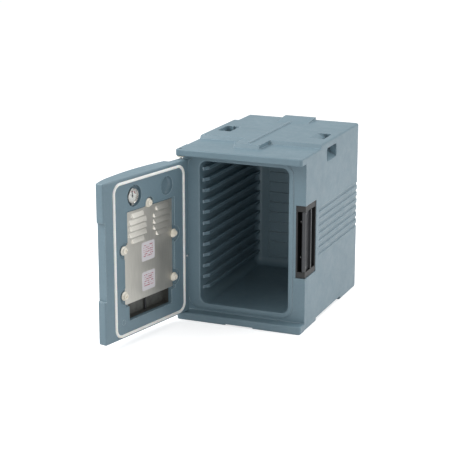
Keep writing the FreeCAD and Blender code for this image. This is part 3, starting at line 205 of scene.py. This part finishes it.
def bright_steel():
    """Drawn steel rod, plated: mirror-like, with fine marks along its length."""
    made, tree = material("bright_plated_steel")
    place = node(tree, "ShaderNodeTexCoord").outputs["Object"]
    marks = node(tree, "ShaderNodeTexNoise", Vector=place, Scale=per_metre(6), Detail=5)
    gloss = node(tree, "ShaderNodeMapRange", Value=marks.outputs["Fac"],
                 From_Min=NOISE_LOW, From_Max=NOISE_HIGH, To_Min=0.16, To_Max=0.3)
    shader = node(tree, "ShaderNodeBsdfPrincipled", Base_Color=linear("#c9cbcc"),
                  Metallic=1.0, Roughness=gloss.outputs[0])
    node(tree, "ShaderNodeOutputMaterial", Surface=shader.outputs[0])
    return made


def moulded_nylon(name, base, shade, roughness, spark_strength=0.12):
    """Injection-moulded nylon: an even colour with a fine spark texture."""
    made, tree = material(name)
    place = node(tree, "ShaderNodeTexCoord").outputs["Object"]
    flow = node(tree, "ShaderNodeTexNoise", Vector=place, Scale=per_metre(40),
                Detail=3).outputs["Fac"]
    spark = node(tree, "ShaderNodeTexNoise", Vector=place, Scale=per_metre(3), Detail=2)
    gloss = node(tree, "ShaderNodeMapRange", Value=flow, From_Min=NOISE_LOW,
                 From_Max=NOISE_HIGH, To_Min=roughness - 0.04, To_Max=roughness + 0.05)
    soft = node(tree, "ShaderNodeBevel", {"samples": 4}, Radius=0.0008)
    bump = node(tree, "ShaderNodeBump", Strength=spark_strength, Distance=0.0003,
                Height=spark.outputs["Fac"], Normal=soft.outputs[0])
    shader = node(tree, "ShaderNodeBsdfPrincipled",
                  Base_Color=mottled(tree, flow, linear(base), linear(shade)),
                  Roughness=gloss.outputs[0], IOR=1.53, Normal=bump.outputs[0])
    node(tree, "ShaderNodeOutputMaterial", Surface=shader.outputs[0])
    return made


def local_box(name, place=door_place):
    """A CAD node's lowest and highest corner in the door's own directions."""
    back = place.inverted()
    points = [back @ v.co for v in nodes[name].data.vertices]
    return (Vector(min(p[i] for p in points) for i in range(3)),
            Vector(max(p[i] for p in points) for i in range(3)))


def bridge(mesh, loop, after):
    """Faces all round between two loops of points."""
    for index in range(len(loop)):
        other = (index + 1) % len(loop)
        mesh.faces.new((loop[index], loop[other], after[other], after[index]))


def radius_at(radius, flats, angle):
    """A ring's radius: round, or out to the flats of a polygon."""
    if not flats:
        return radius
    part = 2 * math.pi / flats
    return radius / math.cos((angle % part) - part / 2)


def add_rings(mesh, rings, turn, centre, segments=48):
    """Adds rings of (radius, height, flats) as one closed skin round an axis."""
    loops = []
    for radius, height, flats in rings:
        loop = []
        for step in range(segments):
            angle = 2 * math.pi * step / segments
            reach = radius_at(radius, flats, angle)
            point = Vector((reach * math.cos(angle), reach * math.sin(angle), height))
            loop.append(mesh.verts.new(centre + turn @ point))
        loops.append(loop)
    for loop, after in zip(loops, loops[1:]):
        bridge(mesh, loop, after)
    mesh.faces.new(list(reversed(loops[0])))
    mesh.faces.new(loops[-1])


def piece(name, mesh, place, body, finish, replaced=(), smooth_deg=35):
    """Makes a piece from a bmesh, parents it to its body and hides the CAD parts it replaces."""
    bmesh.ops.recalc_face_normals(mesh, faces=mesh.faces)
    data = bpy.data.meshes.new(name)
    mesh.to_mesh(data)
    mesh.free()
    data.materials.append(finish)
    made = bpy.data.objects.new(name, data)
    bpy.context.scene.collection.objects.link(made)
    made.matrix_world = place
    data.shade_smooth()
    data.set_sharp_from_angle(angle=math.radians(smooth_deg))
    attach(made, body)
    if replaced:
        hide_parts(*replaced)
    return made


def lock_screw():
    """The rod's lock screw: a domed head with a hexagon socket."""
    low, high = local_box("rod_lock_screw")
    x, z = (low.x + high.x) / 2, (low.z + high.z) / 2
    head = (high.x - low.x) / 2
    shank, socket = head * 0.6, head * 0.42
    head_height, socket_floor = 0.002, 0.0006
    foot = high.y - head_height
    mesh = bmesh.new()
    rings = [(shank, low.y - foot, 0), (shank, 0, 0), (head, 0, 0),
             (head, 0.0006, 0), (head * 0.85, 0.0014, 0), (head * 0.55, head_height, 0),
             (socket, 0.0019, 6), (socket, socket_floor, 6)]
    add_rings(mesh, rings, INWARD, Vector((x, foot, z)))
    piece("lock_screw_socket_head", mesh, door_place, "door", steel,
          ["rod_lock_screw"])


steel = bright_steel()
dress(steel, "hinge_rod")
dress(moulded_nylon("natural_nylon", "#e6e2d6", "#ded9ca", 0.42),
      "hinge_bush_top", "hinge_bush_bottom")
lock_screw()


# ----------------------------------------------------------------------- latch
# Black glass-filled nylon: a bracket let into the carcass edge, held by four
# screws, and a long lever on a steel pin.  Its hook swings over the door's edge.

black_nylon = moulded_nylon("glass_filled_nylon_black", "#090a0b", "#0e0f10", 0.55,
                            spark_strength=0.25)
lever_nylon = moulded_nylon("glass_filled_nylon_grey", "#303235", "#3a3c40", 0.42,
                            spark_strength=0.2)
dress(black_nylon, "latch_base")
dress(lever_nylon, "latch_lever")
dress(steel, "latch_pin")


def latch_screws():
    """Four pan-head screws in the bracket's back plate."""
    low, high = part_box("latch_screws")
    head, shank = 0.0045, 0.002
    under_head = high.x - 0.0025
    crown, socket_floor = 0.0024, 0.0010
    mesh = bmesh.new()
    for y in (low.y + head, high.y - head):
        for z in (low.z + head, high.z - head):
            rings = [(shank, low.x - under_head, 0), (shank, 0, 0), (head, 0, 0),
                     (head, 0.0008, 0), (head * 0.88, 0.0017, 0), (head * 0.6, crown, 0),
                     (head * 0.5, crown, 6), (head * 0.5, socket_floor, 6)]
            add_rings(mesh, rings, RIGHTWARD, Vector((under_head, y, z)))
    piece("latch_socket_screws", mesh, carcass_place, "carcass", steel,
          ["latch_screws"])


def grip_ribs():
    """Raised ribs on the outer face of the lever's arm, for the fingers."""
    count, end_margin = 5, 0.012
    rib_thickness, rib_width, rib_share, rib_lift = 0.0018, 0.0032, 0.86, 0.0003
    low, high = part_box("latch_lever")
    pivot = next(j for j in frame["joints"] if j["name"] == "latch_swing")["pos_m"]
    start, end = pivot[1] + end_margin, high.y - end_margin
    size = Matrix.Diagonal((rib_thickness, rib_width, (high.z - low.z) * rib_share, 1))
    mesh = bmesh.new()
    for index in range(count):
        y = start + (end - start) * index / (count - 1)
        at = Matrix.Translation((pivot[0] + rib_lift, y, (low.z + high.z) / 2))
        bmesh.ops.create_cube(mesh, size=1.0, matrix=at @ size)
    bmesh.ops.bevel(mesh, geom=mesh.edges[:], offset=0.0005, segments=2, affect="EDGES")
    piece("lever_grip_ribs", mesh, carcass_place, "latch_lever", lever_nylon)


latch_screws()
grip_ribs()


# ---------------------------------------------------------------- door gasket
# A white silicone seal in a groove round the door's inner face.  It is extruded
# in one length and joined: a firm foot, and a hollow bulb that meets the rim.

def silicone():
    """Silicone rubber: matt, faintly translucent, with dust on its crown."""
    made, tree = material("white_silicone")
    place = node(tree, "ShaderNodeTexCoord").outputs["Object"]
    dust = node(tree, "ShaderNodeTexNoise", Vector=place, Scale=per_metre(25),
                Detail=4).outputs["Fac"]
    gloss = node(tree, "ShaderNodeMapRange", Value=dust, From_Min=NOISE_LOW,
                 From_Max=NOISE_HIGH, To_Min=0.5, To_Max=0.66)
    shader = node(tree, "ShaderNodeBsdfPrincipled",
                  Base_Color=mottled(tree, dust, linear("#f6f6f3"), linear("#ecece8")),
                  Roughness=gloss.outputs[0], Subsurface_Weight=0.15,
                  Subsurface_Scale=0.002, IOR=1.41)
    node(tree, "ShaderNodeOutputMaterial", Surface=shader.outputs[0])
    return made


def rounded_path(low, high, radius, steps):
    """Points and outward directions round a rectangle with rounded corners."""
    path = []
    left, right = low[0] + radius, high[0] - radius
    bottom, top = low[1] + radius, high[1] - radius
    for x, z, start in ((right, top, 0), (left, top, 90), (left, bottom, 180),
                        (right, bottom, 270)):
        for step in range(steps + 1):
            angle = math.radians(start + 90 * step / steps)
            out = Vector((math.cos(angle), math.sin(angle)))
            path.append((Vector((x, z)) + out * radius, out))
    return path


def gasket_section(wide, deep):
    """The seal's outline, across and deep: a square foot under a round bulb."""
    foot, shoulder_in, shoulder_rise = 0.0042, 0.0006, 0.0004
    bulb, bulb_inset, bulb_steps, fullness = wide / 2, 0.0004, 12, 0.7
    section = [(0.0, 0.0), (0.0, foot), (-shoulder_in, foot + shoulder_rise)]
    for step in range(1, bulb_steps):
        angle = math.pi * step / bulb_steps
        section.append((-bulb + (bulb - bulb_inset) * math.cos(angle),
                        foot + (deep - foot) * math.sin(angle) ** fullness))
    return section + [(-wide + shoulder_in, foot + shoulder_rise), (-wide, foot),
                      (-wide, 0.0)]


def gasket():
    """The seal, as its section swept round the groove."""
    low, high = local_box("door_gasket")
    to_door = door_place.inverted()
    points = [to_door @ v.co for v in nodes["door_gasket"].data.vertices]
    corner = min(p.z for p in points if p.x < low.x + 0.0001) - low.z
    section = gasket_section(0.010, high.y - low.y)
    path = rounded_path((low.x, low.z), (high.x, high.z), corner, 14)
    mesh = bmesh.new()
    loops = [[mesh.verts.new((at.x + out.x * across, low.y + depth, at.y + out.y * across))
              for across, depth in section] for at, out in path]
    for loop, after in zip(loops, loops[1:] + loops[:1]):
        bridge(mesh, loop, after)
    piece("bulb_gasket", mesh, door_place, "door", silicone(),
          ["door_gasket"], smooth_deg=50)


gasket()


# ------------------------------------------------------------- louvred cover
# A 1.2 mm stainless plate over the heater.  Two columns of louvres are pressed
# out of it, and its edges lie in a shallow recess under five turn knobs.

def brushed_stainless(name, base, shade, roughness):
    """Stainless sheet with an upright brushed grain, drawn coarse enough to show."""
    drawn_out = (1.0, 1.0, 0.02)
    made, tree = material(name)
    place = node(tree, "ShaderNodeTexCoord").outputs["Object"]
    grain_place = node(tree, "ShaderNodeMapping", Vector=place, Scale=drawn_out).outputs[0]
    grain = node(tree, "ShaderNodeTexNoise", Vector=grain_place, Scale=per_metre(1.1),
                 Detail=4).outputs["Fac"]
    smear = node(tree, "ShaderNodeTexNoise", Vector=place, Scale=per_metre(60), Detail=3)
    brushed = node(tree, "ShaderNodeMapRange", Value=grain, From_Min=NOISE_LOW,
                   From_Max=NOISE_HIGH, To_Min=roughness - 0.05, To_Max=roughness + 0.06)
    handled = node(tree, "ShaderNodeMapRange", Value=smear.outputs["Fac"],
                   From_Min=NOISE_LOW, From_Max=NOISE_HIGH, To_Min=-0.03, To_Max=0.05)
    gloss = node(tree, "ShaderNodeMath", {"operation": "ADD"},
                 {0: brushed.outputs[0], 1: handled.outputs[0]})
    soft = node(tree, "ShaderNodeBevel", {"samples": 4}, Radius=0.0012)
    bump = node(tree, "ShaderNodeBump", Strength=0.15, Distance=0.0001, Height=grain,
                Normal=soft.outputs[0])
    shader = node(tree, "ShaderNodeBsdfPrincipled",
                  Base_Color=mottled(tree, grain, linear(base), linear(shade)),
                  Metallic=1.0, Roughness=gloss.outputs[0], Normal=bump.outputs[0])
    node(tree, "ShaderNodeOutputMaterial", Surface=shader.outputs[0])
    return made


stainless = brushed_stainless("brushed_stainless", "#d6d3cb", "#c4c1b9", 0.42)
dress(stainless, "louvred_cover")


# --------------------------------------------------------------- cover knobs
# Five quarter-turn knobs of cream nylon: a round flange that clamps the cover,
# an eight-sided hub to grip, and a shank in a brass insert.

knob_nylon = moulded_nylon("cream_nylon", "#f1ece0", "#e8e1d0", 0.36)


def turned_brass():
    """Free-cutting brass, turned: warm, with fine rings."""
    made, tree = material("turned_brass")
    place = node(tree, "ShaderNodeTexCoord").outputs["Object"]
    rings = node(tree, "ShaderNodeTexNoise", Vector=place, Scale=per_metre(2), Detail=3)
    gloss = node(tree, "ShaderNodeMapRange", Value=rings.outputs["Fac"],
                 From_Min=NOISE_LOW, From_Max=NOISE_HIGH, To_Min=0.25, To_Max=0.4)
    shader = node(tree, "ShaderNodeBsdfPrincipled", Base_Color=linear("#c7a15a"),
                  Metallic=1.0, Roughness=gloss.outputs[0])
    node(tree, "ShaderNodeOutputMaterial", Surface=shader.outputs[0])
    return made


def cover_knob(number):
    """One knob: shank, flange, eight-sided hub and its dished end."""
    low, high = local_box(f"cover_knob_{number}")
    x, z = (low.x + high.x) / 2, (low.z + high.z) / 2
    shank, height = 0.0040, 0.012
    flange = (high.x - low.x) / 2
    hub = flange * 0.66
    foot = high.y - height
    rings = [(shank, low.y - foot, 0), (shank, 0, 0), (flange - 0.0008, 0, 0),
             (flange, 0.0008, 0), (flange, 0.0026, 0), (flange - 0.0008, 0.0036, 0),
             (flange - 0.0024, 0.0042, 0), (hub + 0.0012, 0.0046, 8),
             (hub, 0.0056, 8), (hub * 0.95, height - 0.0014, 8),
             (hub * 0.90, height - 0.0004, 8), (hub * 0.82, height, 8),
             (hub * 0.55, height, 0), (hub * 0.47, height - 0.0006, 0),
             (hub * 0.42, height - 0.0034, 0)]
    mesh = bmesh.new()
    add_rings(mesh, rings, INWARD, Vector((x, foot, z)))
    piece(f"turn_knob_{number}", mesh, door_place, f"knob_{number}", knob_nylon,
          [f"cover_knob_{number}"], smooth_deg=32)


for number in range(1, 6):
    cover_knob(number)
dress(turned_brass(), "knob_inserts")


# -------------------------------------------------------------------- labels
# Two polyester film labels on the cover, with plain printed bars in place of
# any words, a blank margin and rounded corners.

def printed_film(name, low, high):
    """Pale film with rows of broken bars, printed in muted red inside a margin."""
    row_waves, row_cut, break_cut = 56.0, 0.25, 0.47
    half_print, print_middle, half_rows = 0.36, 0.55, 0.33
    made, tree = material(name)
    place = node(tree, "ShaderNodeTexCoord").outputs["Object"]
    split = node(tree, "ShaderNodeSeparateXYZ", Vector=place)
    across = node(tree, "ShaderNodeMapRange", Value=split.outputs["X"],
                  From_Min=low.x, From_Max=high.x, To_Min=0, To_Max=1).outputs[0]
    up = node(tree, "ShaderNodeMapRange", Value=split.outputs["Z"],
              From_Min=low.z, From_Max=high.z, To_Min=0, To_Max=1).outputs[0]
    words = node(tree, "ShaderNodeTexNoise", Vector=place, Scale=per_metre(5), Detail=1)

    def worked_out(operation, *values):
        """The result of one sum on numbers or sockets."""
        return node(tree, "ShaderNodeMath", {"operation": operation},
                    dict(enumerate(values))).outputs[0]

    wave = worked_out("SINE", worked_out("MULTIPLY", up, row_waves))
    rows = worked_out("GREATER_THAN", wave, row_cut)
    broken = worked_out("GREATER_THAN", words.outputs["Fac"], break_cut)
    off_centre = worked_out("ABSOLUTE", worked_out("SUBTRACT", across, 0.5))
    off_middle = worked_out("ABSOLUTE", worked_out("SUBTRACT", up, print_middle))
    inside = worked_out("MULTIPLY", worked_out("LESS_THAN", off_centre, half_print),
                        worked_out("LESS_THAN", off_middle, half_rows))
    printed = worked_out("MULTIPLY", worked_out("MULTIPLY", rows, broken), inside)
    colour = node(tree, "ShaderNodeMix", {"data_type": "RGBA"},
                  {0: printed, 6: linear("#dcd8dc"), 7: linear("#b4626e")})
    shader = node(tree, "ShaderNodeBsdfPrincipled", Base_Color=colour.outputs[2],
                  Roughness=0.32, Coat_Weight=0.3, Coat_Roughness=0.2)
    node(tree, "ShaderNodeOutputMaterial", Surface=shader.outputs[0])
    return made


def label(name):
    """One label: a thin sheet with rounded corners."""
    corner = 0.006
    low, high = local_box(name)
    path = rounded_path((low.x, low.z), (high.x, high.z), corner, 6)
    mesh = bmesh.new()
    under = [mesh.verts.new((at.x, low.y, at.y)) for at, _ in path]
    over = [mesh.verts.new((at.x, high.y, at.y)) for at, _ in path]
    mesh.faces.new(under)
    mesh.faces.new(list(reversed(over)))
    bridge(mesh, under, over)
    piece(f"{name}_film", mesh, door_place, "door", printed_film(f"film_{name}", low, high),
          [name])


label("label_upper")
label("label_lower")


# -------------------------------------------------------------- heater parts
# Behind the cover: an aluminised tray, a tubular element on ceramic clips, its
# thermostat and cut-out, and a terminal block with silicone-covered leads.

def aluminised_sheet_painted_shade():
    """Aluminised steel in a dark grey that partly paints in the shade of the well behind the
    cover: cloudy and half matt.
    """
    made, tree = material("aluminised_steel")
    place = node(tree, "ShaderNodeTexCoord").outputs["Object"]
    cloud = node(tree, "ShaderNodeTexNoise", Vector=place, Scale=per_metre(30),
                 Detail=5).outputs["Fac"]
    gloss = node(tree, "ShaderNodeMapRange", Value=cloud, From_Min=NOISE_LOW,
                 From_Max=NOISE_HIGH, To_Min=0.42, To_Max=0.6)
    # The dark grey colours are partly painted shade for the well behind the cover.
    shader = node(tree, "ShaderNodeBsdfPrincipled",
                  Base_Color=mottled(tree, cloud, linear("#6f706c"), linear("#5c5d5a")),
                  Metallic=0.85, Roughness=gloss.outputs[0])
    node(tree, "ShaderNodeOutputMaterial", Surface=shader.outputs[0])
    return made


def heat_tinted_steel():
    """The element's sheath: steel turned straw and blue by heat."""
    made, tree = material("heat_tinted_sheath")
    place = node(tree, "ShaderNodeTexCoord").outputs["Object"]
    tint = node(tree, "ShaderNodeTexNoise", Vector=place, Scale=per_metre(45),
                Detail=3).outputs["Fac"]
    gloss = node(tree, "ShaderNodeMapRange", Value=tint, From_Min=NOISE_LOW,
                 From_Max=NOISE_HIGH, To_Min=0.36, To_Max=0.5)
    shader = node(tree, "ShaderNodeBsdfPrincipled",
                  Base_Color=mottled(tree, tint, linear("#6b6258"), linear("#4c4f5a")),
                  Metallic=1.0, Roughness=gloss.outputs[0])
    node(tree, "ShaderNodeOutputMaterial", Surface=shader.outputs[0])
    return made


def steatite():
    """Glazed steatite ceramic: off-white with a wet gloss."""
    made, tree = material("steatite_ceramic")
    place = node(tree, "ShaderNodeTexCoord").outputs["Object"]
    speck = node(tree, "ShaderNodeTexNoise", Vector=place, Scale=per_metre(1.5), Detail=2)
    colour = mottled(tree, speck.outputs["Fac"], linear("#ebe7dc"), linear("#dcd6c8"))
    shader = node(tree, "ShaderNodeBsdfPrincipled", Base_Color=colour, Roughness=0.22)
    node(tree, "ShaderNodeOutputMaterial", Surface=shader.outputs[0])
    return made


def silicone_lead():
    """Black silicone sleeve over the heater's leads: matt and a little dusty."""
    made, tree = material("silicone_sleeve_black")
    place = node(tree, "ShaderNodeTexCoord").outputs["Object"]
    dust = node(tree, "ShaderNodeTexNoise", Vector=place, Scale=per_metre(8), Detail=3)
    colour = mottled(tree, dust.outputs["Fac"], linear("#202124"), linear("#2b2c2f"))
    shader = node(tree, "ShaderNodeBsdfPrincipled", Base_Color=colour, Roughness=0.6)
    node(tree, "ShaderNodeOutputMaterial", Surface=shader.outputs[0])
    return made


dress(aluminised_sheet_painted_shade(), "heater_tray")
dress(heat_tinted_steel(), "heater_element")
dress(steatite(), "element_clips", "thermostat", "terminal_block")
dress(silicone_lead(), "wiring_harness")
dress(stainless, "thermal_cutoff")


# ---------------------------------------------------------------- thermometer
# A dial thermometer in a round bay: a spun stainless case with a rolled bezel,
# an enamelled dial with a printed scale, a flat glass and a needle on a spindle.

def enamelled(name, base, roughness=0.3):
    """Stove enamel on thin sheet: even and a little glossy."""
    made, tree = material(name)
    place = node(tree, "ShaderNodeTexCoord").outputs["Object"]
    flow = node(tree, "ShaderNodeTexNoise", Vector=place, Scale=per_metre(12), Detail=2)
    gloss = node(tree, "ShaderNodeMapRange", Value=flow.outputs["Fac"],
                 From_Min=NOISE_LOW, From_Max=NOISE_HIGH, To_Min=roughness - 0.05,
                 To_Max=roughness + 0.08)
    shader = node(tree, "ShaderNodeBsdfPrincipled", Base_Color=linear(base),
                  Roughness=gloss.outputs[0])
    node(tree, "ShaderNodeOutputMaterial", Surface=shader.outputs[0])
    return made


def flat_glass():
    """The dial's flat clear glass."""
    made, tree = material("flat_dial_glass")
    shader = node(tree, "ShaderNodeBsdfPrincipled", Base_Color=linear("#f4f8f8"),
                  Roughness=0.03, Transmission_Weight=1.0, IOR=1.45, Alpha=0.25)
    node(tree, "ShaderNodeOutputMaterial", Surface=shader.outputs[0])
    return made


dial_white = enamelled("white_enamel", "#ecebe6")
ink_black = enamelled("black_ink", "#1e1f22")
ink_red = enamelled("red_ink", "#a8323a")
needle_black = enamelled("black_enamel", "#17181a")
case_steel = brushed_stainless("spun_stainless", "#c6c5c1", "#b8b6b1", 0.26)
dress(case_steel, "thermometer_case", "thermometer_clip", "pointer_spindle")
dress(dial_white, "thermometer_dial")
dress(flat_glass(), "thermometer_lens")


def arc_band(mesh, centre, y, inner, outer, start, end, steps=24):
    """A thin raised arc on the dial, between two angles in degrees from the top."""
    thick = 0.0002
    corners = ((inner, y), (outer, y), (outer, y + thick), (inner, y + thick))
    loops = []
    for step in range(steps + 1):
        angle = math.radians(start + (end - start) * step / steps)
        way = Vector((math.sin(angle), 0, math.cos(angle)))
        loops.append([mesh.verts.new(centre + way * reach + Vector((0, depth, 0)))
                      for reach, depth in corners])
    for loop, after in zip(loops, loops[1:]):
        bridge(mesh, loop, after)
    mesh.faces.new(loops[0])
    mesh.faces.new(list(reversed(loops[-1])))


def dial_scale():
    """The printed scale: long and short marks, and a red sector."""
    first_mark, mark_step, marks, long_every = -120, 10, 25, 4
    low, high = local_box("thermometer_dial")
    centre = Vector(((low.x + high.x) / 2, 0, (low.z + high.z) / 2))
    reach = (high.x - low.x) / 2
    mesh = bmesh.new()
    for index in range(marks):
        angle = first_mark + mark_step * index
        inner, half = (0.72, 1.0) if index % long_every == 0 else (0.80, 0.55)
        arc_band(mesh, centre, high.y, reach * inner, reach * 0.88, angle - half,
                 angle + half, steps=1)
    piece("dial_marks", mesh, door_place, "door", ink_black)
    mesh = bmesh.new()
    arc_band(mesh, centre, high.y, reach * 0.58, reach * 0.68, -75, 25)
    piece("dial_red_sector", mesh, door_place, "door", ink_red)


def bezel():
    """The rolled rim that holds the glass in the case."""
    roll, roll_steps, steps = 0.0013, 10, 72
    low, high = local_box("thermometer_case")
    centre = Vector(((low.x + high.x) / 2, 0, (low.z + high.z) / 2))
    roll_reach = (high.x - low.x) / 2 - 0.0009
    roll_depth = high.y - 0.0002
    mesh = bmesh.new()
    loops = []
    for step in range(steps):
        angle = 2 * math.pi * step / steps
        way = Vector((math.cos(angle), 0, math.sin(angle)))
        loops.append([mesh.verts.new(
            centre + way * (roll_reach + roll * math.cos(t))
            + Vector((0, roll_depth + roll * math.sin(t), 0)))
            for t in (2 * math.pi * k / roll_steps for k in range(roll_steps))])
    for loop, after in zip(loops, loops[1:] + loops[:1]):
        bridge(mesh, loop, after)
    piece("thermometer_bezel", mesh, door_place, "door", case_steel,
          smooth_deg=60)


def needle():
    """The tapered needle with its tail and hub."""
    tail, waist, tip, hub_edge = 0.0014, 0.0009, 0.0002, 0.0003
    low, high = local_box("thermometer_pointer")
    x = (low.x + high.x) / 2
    hub = (high.x - low.x) / 2
    thickness = high.y - low.y
    middle = low.z + (high.z - low.z) * 0.25
    mesh = bmesh.new()
    outline = [(-tail, low.z), (tail, low.z), (waist, middle), (tip, high.z),
               (-tip, high.z), (-waist, middle)]
    under = [mesh.verts.new((x + dx, low.y, z)) for dx, z in outline]
    over = [mesh.verts.new((x + dx, high.y, z)) for dx, z in outline]
    mesh.faces.new(under)
    mesh.faces.new(list(reversed(over)))
    bridge(mesh, under, over)
    rings = [(hub, 0, 0)]
    for step in range(5):
        angle = math.pi / 2 * step / 4
        rings.append((hub - hub_edge + hub_edge * math.cos(angle),
                      thickness - hub_edge + hub_edge * math.sin(angle), 0))
    add_rings(mesh, rings, INWARD, Vector((x, low.y, middle)))
    piece("tapered_needle", mesh, door_place, "pointer", needle_black,
          ["thermometer_pointer"])


dial_scale()
bezel()
needle()


# --------------------------------------------------- mains inlet and pilot lamp
# On the outside of the door, low down: a black moulded inlet with flat pins,
# and a small red lamp that shows when the heater draws current.

def red_lens():
    """Clear red acrylic, moulded and ribbed inside: glossy, with a broken shine."""
    made, tree = material("red_acrylic")
    place = node(tree, "ShaderNodeTexCoord").outputs["Object"]
    ribs = node(tree, "ShaderNodeTexNoise", Vector=place, Scale=per_metre(1.5), Detail=1)
    bump = node(tree, "ShaderNodeBump", Strength=0.3, Distance=0.0002,
                Height=ribs.outputs["Fac"])
    shader = node(tree, "ShaderNodeBsdfPrincipled", Base_Color=linear("#b3231c"),
                  Roughness=0.12, Coat_Weight=0.6, Coat_Roughness=0.05,
                  Normal=bump.outputs[0])
    node(tree, "ShaderNodeOutputMaterial", Surface=shader.outputs[0])
    return made


dress(black_nylon, "power_inlet")
dress(steel, "inlet_pins")
dress(red_lens(), "pilot_lamp")


# ------------------------------------------------------------- floor and light
# A pale studio floor and four soft lamps, with the camera low to the front
# and to the right of the carrier.

def pale_floor():
    """A floor that reads white to the eye, and keeps the carrier's shadow."""
    glow_strength = 0.66
    made, tree = material("pale_studio_floor")
    path = node(tree, "ShaderNodeLightPath")
    seen = node(tree, "ShaderNodeMath", {"operation": "MAXIMUM"},
                {0: path.outputs["Is Camera Ray"], 1: path.outputs["Is Glossy Ray"]})
    level = node(tree, "ShaderNodeMath", {"operation": "MULTIPLY"},
                 {0: seen.outputs[0], 1: glow_strength})
    glow = node(tree, "ShaderNodeEmission", Color=linear("#ffffff"),
                Strength=level.outputs[0])
    lit = node(tree, "ShaderNodeBsdfDiffuse", Color=linear("#d4d5d6"))
    both = node(tree, "ShaderNodeAddShader", numbered={0: glow.outputs[0],
                                                       1: lit.outputs[0]})
    node(tree, "ShaderNodeOutputMaterial", Surface=both.outputs[0])
    return made


def studio_floor():
    """A wide floor just under the carrier's feet."""
    half_size, drop = 30, 0.0005
    mesh = bmesh.new()
    bmesh.ops.create_grid(mesh, x_segments=1, y_segments=1, size=half_size)
    data = bpy.data.meshes.new("studio_floor")
    mesh.to_mesh(data)
    mesh.free()
    data.materials.append(pale_floor())
    floor = bpy.data.objects.new("studio_floor", data)
    bpy.context.scene.collection.objects.link(floor)
    floor.location = (0, 0, cad_box[0].z - drop)


def direction(azimuth, elevation):
    """The way out from the carrier; azimuth 0 is its front, 90 its right."""
    a, e = math.radians(azimuth), math.radians(elevation)
    return Vector((math.sin(a) * math.cos(e), -math.cos(a) * math.cos(e), math.sin(e)))


def look_from(made, target, azimuth, elevation, distance):
    """Puts a lamp or camera out along a direction, turned back to the target."""
    way = direction(azimuth, elevation)
    made.location = target + way * distance
    made.rotation_mode = "QUATERNION"
    made.rotation_quaternion = (-way).to_track_quat("-Z", "Y")


def lamp(name, azimuth, elevation, distance, size, watts):
    """A soft square lamp that looks at the carrier's middle."""
    light = bpy.data.lights.new(name, "AREA")
    light.size = size
    light.energy = watts
    made = bpy.data.objects.new(name, light)
    bpy.context.scene.collection.objects.link(made)
    middle = Vector((0, 0, (cad_box[0].z + cad_box[1].z) / 2))
    look_from(made, middle, azimuth, elevation, distance)


def studio_world():
    """Even light all round, and white where the eye sees past the floor."""
    light_strength, seen_strength = 0.55, 1.0
    world = bpy.data.worlds.new("studio")
    world.use_nodes = True
    sky = world.node_tree
    sky.nodes.clear()
    rays = node(sky, "ShaderNodeLightPath")
    seen = node(sky, "ShaderNodeMath", {"operation": "MAXIMUM"},
                {0: rays.outputs["Is Camera Ray"], 1: rays.outputs["Is Transmission Ray"]})
    level = node(sky, "ShaderNodeMapRange", Value=seen.outputs[0], To_Min=light_strength,
                 To_Max=seen_strength)
    light = node(sky, "ShaderNodeBackground", Color=linear("#ffffff"),
                 Strength=level.outputs[0])
    node(sky, "ShaderNodeOutputWorld", Surface=light.outputs[0])
    bpy.context.scene.world = world


def front_camera():
    """A long lens, low to the front and right, aimed at the carrier's front."""
    data = bpy.data.cameras.new("camera")
    data.sensor_width = 36.0
    data.lens = 111.75
    camera = bpy.data.objects.new("camera", data)
    bpy.context.scene.collection.objects.link(camera)
    target = Vector((-0.0316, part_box("carcass_shell")[0].y, 0.3498))
    look_from(camera, target, azimuth=22.77, elevation=15.41, distance=4.913)
    bpy.context.scene.camera = camera


studio_floor()
lamp("key_lamp", -57, 40, 3.2, 1.8, 72)
lamp("side_lamp", 108, 22, 3.4, 2.0, 36)
lamp("front_lamp", 8, 6, 3.4, 1.2, 10)
lamp("top_lamp", 140, 70, 3.4, 2.4, 45)
studio_world()
front_camera()
bpy.context.scene.view_settings.view_transform = "Standard"
